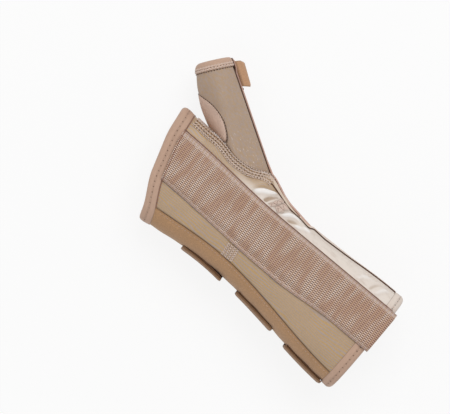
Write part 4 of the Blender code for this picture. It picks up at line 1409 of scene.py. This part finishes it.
def seam_lines():
    """Dark lines in the seams: piping at the loop strip, the tape's edge and the hem, and painted shadow of the seam's
    gap at the radial edge and the thumb slit.
    """
    low, high = PROXIMAL_Y + PROXIMAL_HEM, DISTAL_Y - DISTAL_HEM
    y = line_y(low, high - 0.0122)
    strip = sleeve_point(y, ulnar_seam(y), -0.0002)
    radial = radial_line(line_y(low, LINE_END, 260))
    piping = piping_path()
    y = line_y(-0.006, FLAP_END + 0.0004, 140)
    x = np.interp(y, piping[:, 1], piping[:, 0]) + PIPING_RADIUS - 0.0015
    layer = lerp(0.0010, 0.0006, ease(0.0, 0.012, y))
    above = sleeve_point(y, turn_at_x(x, y, layer, 1), layer)
    # Past PIPING_DARK the line beside the piping joins the slit's painted shadow line; before it, it is the tape's
    # brown edge line.
    dark = y > PIPING_DARK
    share = line_y(0.0, SLIT_END)
    lift = lerp(-0.0001, 0.0009, ease(SLIT_LIFT_FROM, SLIT_LIFT_TO, share))
    slit = thumb_point(share, SLIT_TURN + 0.0 * share, lift)
    y = line_y(low - 0.006, DISTAL_Y + 0.001)
    x = webbing_side(y) + 0.0003
    edge = sleeve_point(y, turn_at_x(x, y, 0.0006, 1), 0.0006)
    turn = np.linspace(palm_radial_edge(DISTAL_Y), ulnar_seam(DISTAL_Y - DISTAL_SLANT), 240)
    y = distal_edge(turn) - DISTAL_HEM - 0.0003
    x = sleeve_point(y, turn, 0.0)[..., 0]
    over = ease(-0.0010, 0.0002, x - webbing_ulnar(y)) * ease(-0.0010, 0.0002, webbing_side(y) - x)
    hem = sleeve_point(y, turn, 0.0003)
    hem[:, 2] = lerp(hem[:, 2], webbing_height(x, y) + WEBBING_THICK, over)
    tube_piece("seam_line_hem", [hem], 0.00030, "thread_brown", "sleeve")
    tube_piece("seam_line_strip", [strip], 0.00018, "thread_dark", "sleeve")
    # Dark tubes that paint the shadow in the gaps of the radial seam and the thumb slit.
    tube_piece("seam_line_radial", [radial], 0.00050, "thread_dark", "sleeve")
    tube_piece("seam_line_slit", [slit, above[dark]], 0.00038, "thread_dark", "sleeve")
    tube_piece("seam_line_webbing", [edge, above[~dark]], 0.00030, "thread_brown", "sleeve")
    tube_piece("flap_piping", [piping], PIPING_RADIUS, "peach", "sleeve", sides=10)


def hem_stitches():
    turn = np.linspace(0.0, 1.0, 400)
    layer = 0.0007
    line = sizes().hem_line
    rim = lerp(opening_radial(DISTAL_Y), opening_ulnar(DISTAL_Y), turn)
    distal = sleeve_path(distal_edge(rim) - DISTAL_HEM + line, rim, layer)
    rim = lerp(opening_radial(PROXIMAL_Y), opening_ulnar(PROXIMAL_Y), turn)
    proximal = sleeve_path(PROXIMAL_Y + PROXIMAL_HEM - line + 0.0 * rim, rim, layer)
    lines = [stitch_line(*path, sizes().hem_stitch, 0.72) for path in (distal, proximal)]
    stitch_piece("hem_stitches", *join_stitches(*lines), sizes().thread_width, "thread_pale", "sleeve")


def seam_stitches():
    """Small dark dashes in the gusset's seam and under the thumb's hem, and tan rows on the loop strip."""
    share = np.linspace(0.02, GUSSET_END, 160)
    front = thumb_path(share, gusset_angle(share), 0.0001)
    back = thumb_path(share, FULL - gusset_angle(share), 0.0001)
    angle = np.linspace(THUMB_FIRST, THUMB_LAST, 200)
    under_hem = thumb_path(below_top(THUMB_HEM + 0.0003, angle), angle, 0.0003)
    share = np.linspace(0.712, 0.748, 20)
    by_tab = thumb_path(share, SLIT_TURN - 0.38 + 0.0 * share, 0.0013)
    lines = [stitch_line(*path, 0.0021, 0.62) for path in (front, back, under_hem, by_tab)]
    stitch_piece("thumb_seam_stitches", *join_stitches(*lines), 0.0006, "thread_dark", "sleeve")
    y = line_y(PROXIMAL_Y + PROXIMAL_HEM, DISTAL_Y - DISTAL_HEM - 0.012)
    strip = stitch_line(*sleeve_path(y, ulnar_seam(y, -0.0017), 0.0003), 0.0026, 0.7)
    stitch_piece("strip_stitches", *strip, 0.0005, "thread_pale", "sleeve")
    y = line_y(PROXIMAL_Y, DISTAL_Y - DISTAL_HEM + DISTAL_BOW)
    sides = []
    for x in (webbing_ulnar(y) + 0.0014, webbing_side(y) - 0.0014):
        path = np.stack((x, y, webbing_height(x, y) + WEBBING_THICK - 0.0003), axis=-1)
        sides.append(stitch_line(path, sleeve_path(y, turn_at_x(x, y, 0.0, 1), 0.0)[1], 0.0024, 0.75))
    stitch_piece("webbing_stitches", *join_stitches(*sides), 0.00055, "thread_pink", "sleeve")


def palm_edge_path(y, inset, layer):
    """Path beside the palm panel's cut edge at the thumb, a fixed plan distance in from it."""
    x = sleeve_point(y, palm_radial_edge(y), 0.0)[..., 0] - inset
    return sleeve_path(y, turn_at_x(x, y, 0.0, 1), layer)


def band_stitches():
    """Cover stitch along the palm panel's thumb edge: three zigzag rows, with dark spindles between them as painted
    shade of the needle holes.
    """
    y = line_y(0.0245, 0.0937, 224)
    rows = []
    for inset in (0.0014, 0.0034, 0.0054):
        path, normals = palm_edge_path(y, inset, 0.0009)
        rows.append(zigzag(path, normals, -0.0010, 0.0010, 0.0011))
    for inset in (0.0003, 0.0066):
        rows.append(stitch_line(*palm_edge_path(y, inset, 0.0009), 0.0020, 0.85))
    angle = lerp(THUMB_FIRST, THUMB_LAST, np.linspace(0.0, 1.0, 300))
    for height in (0.0013, 0.0030):
        path, normals = thumb_path(below_top(THUMB_HEM - height, angle), angle, 0.0008)
        rows.append(zigzag(path, normals, -0.0009, 0.0009, 0.0012))
    stitch_piece("thumb_edge_band", *join_stitches(*rows), 0.00078, "thread_band", "sleeve")
    tube_piece("thumb_edge_roll", [palm_edge_path(y, -0.0002, 0.0007)[0]], 0.00045, "thread_band", "sleeve")
    # Dark spindles that paint the shade in the needle holes.
    y = line_y(0.0310, 0.0937, 224)
    holes = [stitch_line(*palm_edge_path(y, inset, 0.00095), 0.0026, 0.42) for inset in (0.0024, 0.0044, 0.0062)]
    holes.append(stitch_line(*thumb_path(below_top(THUMB_HEM - 0.0022, angle), angle, 0.0008), 0.0024, 0.4))
    stitch_piece("thumb_edge_holes", *join_stitches(*holes), 0.0006, "thread_dark", "sleeve")


def tack(x, y, step, across, rows, lane, pitch):
    """Lanes of crossed zigzags from a plan point along a plan direction, on the palm face."""
    path_share = np.linspace(0.0, 1.0, 40)[:, None]
    lines = []
    for row in rows:
        start = np.array((x, y)) + np.array(across) * lane * row
        plan = start + np.array(step) * path_share
        path, normals = sleeve_path(plan[:, 1], turn_at_x(plan[:, 0], plan[:, 1], 0.0, 1), 0.0007)
        lines.append(zigzag(path, normals, -lane * 0.48, lane * 0.48, pitch))
        lines.append(zigzag(path, normals, lane * 0.48, -lane * 0.48, pitch))
    return join_stitches(*lines)


def plan_path(start, end):
    """Path and normals on the palm face between two plan points."""
    plan = lerp(np.array(start), np.array(end), np.linspace(0.0, 1.0, 40)[:, None])
    return sleeve_path(plan[:, 1], turn_at_x(plan[:, 0], plan[:, 1], 0.0, 1), 0.0012)


def tack_stitches():
    ulnar = tack(-0.0056, 0.0200, (-0.0098, -0.0010), (0.05, -1.0), range(4), 0.0025, 0.0016)
    borders = [plan_path(*ends) for ends in RADIAL_TACK]
    bright = [stitch_line(path + 0.0004 * normals, normals, 0.0030, 0.94) for path, normals in borders]
    brown, ground = [], []
    for first, second in zip(borders, borders[1:]):
        middle, normals = (first[0] + second[0]) / 2, (first[1] + second[1]) / 2
        half = np.linalg.norm(first[0] - second[0], axis=-1).mean() / 2 - 0.0003
        ground += [zigzag(middle, normals, side * half, -side * half, 0.0008) for side in (-1, 1)]
        brown.append(zigzag(middle + 0.0003 * normals, normals, -half, half, 0.0021))
    stitch_piece("wrist_tacks", *join_stitches(ulnar, *bright), 0.00062, "thread_band", "sleeve")
    stitch_piece("wrist_tack_ground", *join_stitches(*ground), 0.0008, "thread_band", "sleeve")
    stitch_piece("wrist_tack_rungs", *join_stitches(*brown), 0.00030, "thread_brown", "sleeve")


# Settings
def dye(label, words, *screen):
    return bpy.props.FloatVectorProperty(name=label, description=words, subtype="COLOR", size=3, min=0.0, max=1.0,
                                         default=tone(*screen))


def span(label, words, default):
    return bpy.props.FloatProperty(name=label, description=words, subtype="DISTANCE", unit="LENGTH", min=0.0,
                                   precision=5, default=default)


class SplintColours(bpy.types.PropertyGroup):
    """Dyes of the cloths, tapes and threads, and colours of painted highlights and painted shade."""
    khaki: dye("Khaki", "Sateen on the ulnar side and the back", 194, 160, 112)
    khaki_line: dye("Khaki line", "Grey lines in the sateen", 178, 162, 156)
    # Cream: partly the satin's own colour and partly painted sheen where it faces the light.
    cream: dye("Cream", "Satin beside the thumb", 240, 228, 217)
    # Painted highlight on the ridges of the satin's folds.
    cream_highlight: dye("Cream light", "Ridges of the satin's folds", 255, 250, 246)
    cream_shade: dye("Cream shade", "Creases and hollows of the satin", 178, 150, 124)
    cream_tape: dye("Cream tape", "Inner strip of the radial edge's binding", 236, 216, 196)
    tan_loop: dye("Loop strip", "Brushed strip on the ulnar edge", 184, 143, 104)
    binding: dye("Hem tape", "Binding of the hems", 203, 169, 147)
    peach: dye("Peach tape", "Binding of the radial edge and the slit", 214, 174, 157)
    lining: dye("Lining", "Flannel inside", 236, 229, 216)
    webbing: dye("Webbing", "Strands of the stay pocket's tape", 206, 169, 149)
    webbing_light: dye("Webbing glint", "Strands that catch the light, and the selvedges", 248, 222, 206)
    # Painted shade in the grooves between the strands.
    webbing_groove_shade: dye("Webbing groove", "Between the strands", 140, 104, 84)
    webbing_line: dye("Webbing line", "Between the ribs of the tape", 196, 158, 124)
    selvedge: dye("Selvedge", "Edges of the tape", 216, 196, 190)
    selvedge_rung: dye("Selvedge rung", "Cross threads at the edges of the tape", 208, 182, 158)
    strap: dye("Strap", "Faces of the straps", 158, 118, 84)
    hook: dye("Hook", "Hook tape under the straps and the tab", 152, 108, 76)
    thumb: dye("Thumb", "Front and back of the thumb sleeve", 186, 158, 130)
    gusset: dye("Gusset", "Web of the thumb", 226, 196, 178)
    tab: dye("Tab", "Brushed tab on the slit", 196, 150, 112)
    metal: dye("Stay", "Aluminium stay", 205, 207, 210)
    thread_pale: dye("Pale thread", "Thread of the hems", 206, 178, 158)
    thread_pink: dye("Pink thread", "Thread of the tape's edges", 216, 190, 178)
    thread_band: dye("Band thread", "Thread of the tacks and of the thumb edge's band", 234, 212, 198)
    thread_brown: dye("Brown thread", "Edge line of the tape", 160, 114, 94)
    # Dark thread, also used for the painted shadow lines of the radial seam and the slit and the painted shade of
    # needle holes.
    thread_dark: dye("Dark thread", "Seams, needle holes and seam dashes", 88, 52, 28)


class SplintSizes(bpy.types.PropertyGroup):
    """Sizes of the weave, the folds and the stitches."""
    rib_pitch: span("Rib pitch", "From one cross rib of the tape to the next", 0.00268)
    strand_pitch: span("Strand pitch", "From one lengthwise strand of a rib to the next", 0.00148)
    sateen_pitch: span("Sateen pitch", "From one line of the sateen to the next", 0.0019)
    fold_height: span("Fold height", "Highest fold of the satin", 0.0017)
    hem_stitch: span("Hem stitch", "From one stitch of a hem to the next", 0.0038)
    hem_line: span("Hem line", "From a hem's sewn side to its row of stitches", 0.0050)
    thread_width: span("Thread width", "Width of a stitch", 0.0006)


class SplintStage(bpy.types.PropertyGroup):
    """Floor, light and camera."""
    floor: dye("Floor", "Colour of the floor", 250, 250, 250)
    key_power: bpy.props.FloatProperty(name="Key light", description="Power of the main lamp", unit="POWER",
                                       default=7.0)
    fill_power: bpy.props.FloatProperty(name="Fill light", description="Power of the second lamp", unit="POWER",
                                        default=2.0)
    sky: bpy.props.FloatProperty(name="Sky", description="Strength of the light from all sides", default=0.5)
    frame_width: span("Frame width", "Width of the picture at the palm face", 0.315)
    distance: span("Camera distance", "From the camera to the palm face", 2.0)


# Operators
class SPLINT_OT_stage(bpy.types.Operator):
    """Pale floor, soft light from the thumb side, and the camera straight above the palm face."""
    bl_idname = "splint.stage"
    bl_label = "Stage"

    def execute(self, context):
        stage = context.scene.splint_stage
        context.scene.view_settings.view_transform = "Standard"
        self.make_floor(context, stage)
        self.make_sky(context, stage)
        self.make_lamp(context, "key_lamp", stage.key_power, 0.9, (0.75, 0.25, 1.15))
        self.make_lamp(context, "fill_lamp", stage.fill_power, 1.2, (-0.9, 0.1, 0.9))
        self.make_camera(context, stage)
        return {"FINISHED"}

    def make_floor(self, context, stage):
        corner = np.array(((-3, -3), (3, -3), (3, 3), (-3, 3)), float)
        mesh = bpy.data.meshes.new("floor")
        mesh.from_pydata(np.column_stack((corner, np.full(4, -0.0002))).tolist(), [], [(0, 1, 2, 3)])
        floor = bpy.data.objects.new("floor", mesh)
        context.scene.collection.objects.link(floor)
        material, nodes, shader = new_material("stage_floor")
        shader.inputs["Base Color"].default_value = (*stage.floor, 1.0)
        shader.inputs["Roughness"].default_value = 0.9
        shader.inputs["Specular IOR Level"].default_value = 0.0
        path = nodes.put("LightPath").outputs
        seen = nodes.math("MAXIMUM", path["Is Camera Ray"], nodes.math("MAXIMUM", path["Is Glossy Ray"],
                                                                        path["Is Transmission Ray"]))
        glow = nodes.put("Emission", {"Color": (1.0, 1.0, 1.0), "Strength": 1.0})
        blend = nodes.put("MixShader", {0: nodes.times(seen, 0.85)})
        material.node_tree.links.new(shader.outputs[0], blend.inputs[1])
        material.node_tree.links.new(glow.outputs[0], blend.inputs[2])
        material.node_tree.links.new(blend.outputs[0], material.node_tree.nodes["Material Output"].inputs[0])
        mesh.materials.append(material)

    def make_sky(self, context, stage):
        world = bpy.data.worlds.new("stage_sky")
        world.use_nodes = True
        nodes = Nodes(world.node_tree)
        path = nodes.put("LightPath").outputs
        strength = nodes.blend(path["Is Camera Ray"], stage.sky, 1.0)
        sky = world.node_tree.nodes["Background"]
        sky.inputs["Color"].default_value = (1.0, 1.0, 1.0, 1.0)
        nodes.feed(sky.inputs["Strength"], strength)
        context.scene.world = world

    def make_lamp(self, context, name, power, size, place):
        light = bpy.data.lights.new(name, "AREA")
        light.energy = power
        light.size = size
        lamp = bpy.data.objects.new(name, light)
        lamp.location = place
        away = np.array(place) - np.array((0.01, 0.04, 0.03))
        flat = math.hypot(away[0], away[1])
        lamp.rotation_euler = (math.atan2(flat, away[2]), 0.0, math.atan2(away[1], away[0]) + math.pi / 2)
        context.scene.collection.objects.link(lamp)

    def make_camera(self, context, stage):
        lens = bpy.data.cameras.new("camera")
        lens.sensor_width = 36.0
        lens.lens = 36.0 * stage.distance / stage.frame_width
        lens.clip_end = 20.0
        camera = bpy.data.objects.new("camera", lens)
        camera.location = (-0.0026, 0.0627, 0.05 + stage.distance)
        camera.rotation_euler = (0.0, 0.0, math.radians(-50.06))
        context.scene.collection.objects.link(camera)
        context.scene.camera = camera


class SPLINT_OT_palm_panels(bpy.types.Operator):
    """Cream satin and khaki sateen panels of the palm face."""
    bl_idname = "splint.palm_panels"
    bl_label = "Palm panels"

    def execute(self, context):
        gap = SEAM_GAP / 2
        sleeve_panel("volar_panel_radial", palm_radial_edge, lambda y: palm_middle(y, gap), (340, 72), "cream",
                     satin_folds, sink=0.0002)
        sleeve_panel("volar_panel_ulnar", lambda y: palm_middle(y, -gap), lambda y: ulnar_seam(y, gap), (120, 32),
                     "khaki", sink=0.0002)
        return {"FINISHED"}


class SPLINT_OT_side_and_back(bpy.types.Operator):
    """Loop strip on the ulnar edge, back panel and the bound edges of the back opening."""
    bl_idname = "splint.side_and_back"
    bl_label = "Side and back"

    def execute(self, context):
        gap = SEAM_GAP / 2
        bound = EDGE_BINDING + SEAM_GAP
        sleeve_panel("ulnar_loop_strip", lambda y: ulnar_seam(y, -gap), lambda y: opening_ulnar(y, bound), (120, 48),
                     "tan_loop", sink=0.0002)
        sleeve_panel("dorsal_panel", lambda y: opening_radial(y, bound), back_radial_edge, (120, 64), "khaki")
        sleeve_panel("opening_binding_ulnar", lambda y: opening_ulnar(y, EDGE_BINDING), opening_ulnar, (110, 14),
                     "edge_tape", swell=0.0005)
        sleeve_panel("opening_binding_radial", opening_radial, lambda y: opening_radial(y, EDGE_BINDING), (110, 14),
                     "edge_tape", swell=0.0005)
        return {"FINISHED"}


class SPLINT_OT_linings(bpy.types.Operator):
    """Flannel linings of the sleeve."""
    bl_idname = "splint.linings"
    bl_label = "Linings"

    def execute(self, context):
        lining_panel("lining_volar", palm_radial_edge, opening_ulnar, (110, 90))
        lining_panel("lining_dorsal", opening_radial, back_radial_edge, (110, 60))
        return {"FINISHED"}


class SPLINT_OT_hems(bpy.types.Operator):
    """Folded tape round both ends of the sleeve, and the rolled strip at the radial seam."""
    bl_idname = "splint.hems"
    bl_label = "Hems and radial binding"

    def execute(self, context):
        sleeve_hem("distal_hem", DISTAL_HEM, distal_edge, -1.0)
        sleeve_hem("proximal_hem", PROXIMAL_HEM, lambda turn: PROXIMAL_Y + 0.0 * turn, 1.0)
        radial_binding()
        return {"FINISHED"}


class SPLINT_OT_stay_pocket(bpy.types.Operator):
    """Ribbed tape of the stay's pocket, and the finish of the stay inside it."""
    bl_idname = "splint.stay_pocket"
    bl_label = "Stay and pocket"

    def execute(self, context):
        webbing_piece()
        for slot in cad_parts["volar_stay"].material_slots:
            slot.material = finish_material("metal")
        return {"FINISHED"}


class SPLINT_OT_straps(bpy.types.Operator):
    """Three straps, each a sewn base, a bend, a free tail and its hook patch."""
    bl_idname = "splint.straps"
    bl_label = "Straps"

    def execute(self, context):
        for label in STRAP_PLACES:
            strap_base(label)
            strap_tail(label)
            strap_fold(label)
            strap_hook(label)
        return {"FINISHED"}


class SPLINT_OT_thumb(bpy.types.Operator):
    """Thumb sleeve: front, gusset, back, lining, slit binding and hem."""
    bl_idname = "splint.thumb"
    bl_label = "Thumb sleeve"

    def execute(self, context):
        body = (0.0, 1 - THUMB_HEM_SHARE + 0.012)
        thumb_panel("thumb_front_panel", lambda s: THUMB_FIRST + 0.0 * s, gusset_angle, (80, 60), body, "thumb")
        thumb_panel("thumb_web_gusset", lambda s: gusset_angle(s) + thumb_seam(s),
                    lambda s: FULL - gusset_angle(s) - thumb_seam(s), (50, 48), (0.0, GUSSET_END), "gusset")
        thumb_panel("thumb_back_panel", lambda s: FULL - gusset_angle(s),
                    lambda s: FULL + SLIT_TURN - slit_angle(s) - thumb_seam(s), (80, 60), body, "thumb")
        thumb_lining()
        slit_binding()
        thumb_hem()
        return {"FINISHED"}


class SPLINT_OT_thumb_tab(bpy.types.Operator):
    """Tab that closes the thumb's slit, and its hook patch."""
    bl_idname = "splint.thumb_tab"
    bl_label = "Thumb tab"

    def execute(self, context):
        tab_piece()
        tab_hook()
        return {"FINISHED"}


class SPLINT_OT_stitching(bpy.types.Operator):
    """Seam piping and painted seam shadow lines, hem stitches, seam dashes, the thumb edge's band and the wrist tacks.
    """
    bl_idname = "splint.stitching"
    bl_label = "Seams and stitching"

    def execute(self, context):
        seam_lines()
        hem_stitches()
        seam_stitches()
        band_stitches()
        tack_stitches()
        return {"FINISHED"}


GROUPS = (("splint_colours", SplintColours), ("splint_sizes", SplintSizes), ("splint_stage", SplintStage))
OPERATORS = (SPLINT_OT_stage, SPLINT_OT_palm_panels, SPLINT_OT_side_and_back, SPLINT_OT_linings, SPLINT_OT_hems,
             SPLINT_OT_stay_pocket, SPLINT_OT_straps, SPLINT_OT_thumb, SPLINT_OT_thumb_tab, SPLINT_OT_stitching)


class SPLINT_PT_sidebar(bpy.types.Panel):
    """Settings and steps of the splint."""
    bl_idname = "SPLINT_PT_sidebar"
    bl_label = "Wrist and thumb splint"
    bl_space_type = "VIEW_3D"
    bl_region_type = "UI"
    bl_category = "Splint"

    def draw(self, context):
        for name, group in GROUPS:
            box = self.layout.box()
            for setting in group.__annotations__:
                box.prop(getattr(context.scene, name), setting)
        for step in OPERATORS:
            self.layout.operator(step.bl_idname)


def register():
    for name, group in GROUPS:
        bpy.utils.register_class(group)
        setattr(bpy.types.Scene, name, bpy.props.PointerProperty(type=group))
    for cls in (*OPERATORS, SPLINT_PT_sidebar):
        bpy.utils.register_class(cls)


def unregister():
    for cls in (SPLINT_PT_sidebar, *reversed(OPERATORS)):
        bpy.utils.unregister_class(cls)
    for name, group in reversed(GROUPS):
        delattr(bpy.types.Scene, name)
        bpy.utils.unregister_class(group)


def main():
    register()
    bpy.ops.splint.stage()
    bpy.ops.splint.palm_panels()
    bpy.ops.splint.side_and_back()
    bpy.ops.splint.linings()
    bpy.ops.splint.hems()
    bpy.ops.splint.stay_pocket()
    bpy.ops.splint.straps()
    bpy.ops.splint.thumb()
    bpy.ops.splint.thumb_tab()
    bpy.ops.splint.stitching()


if __name__ == "__main__":
    main()
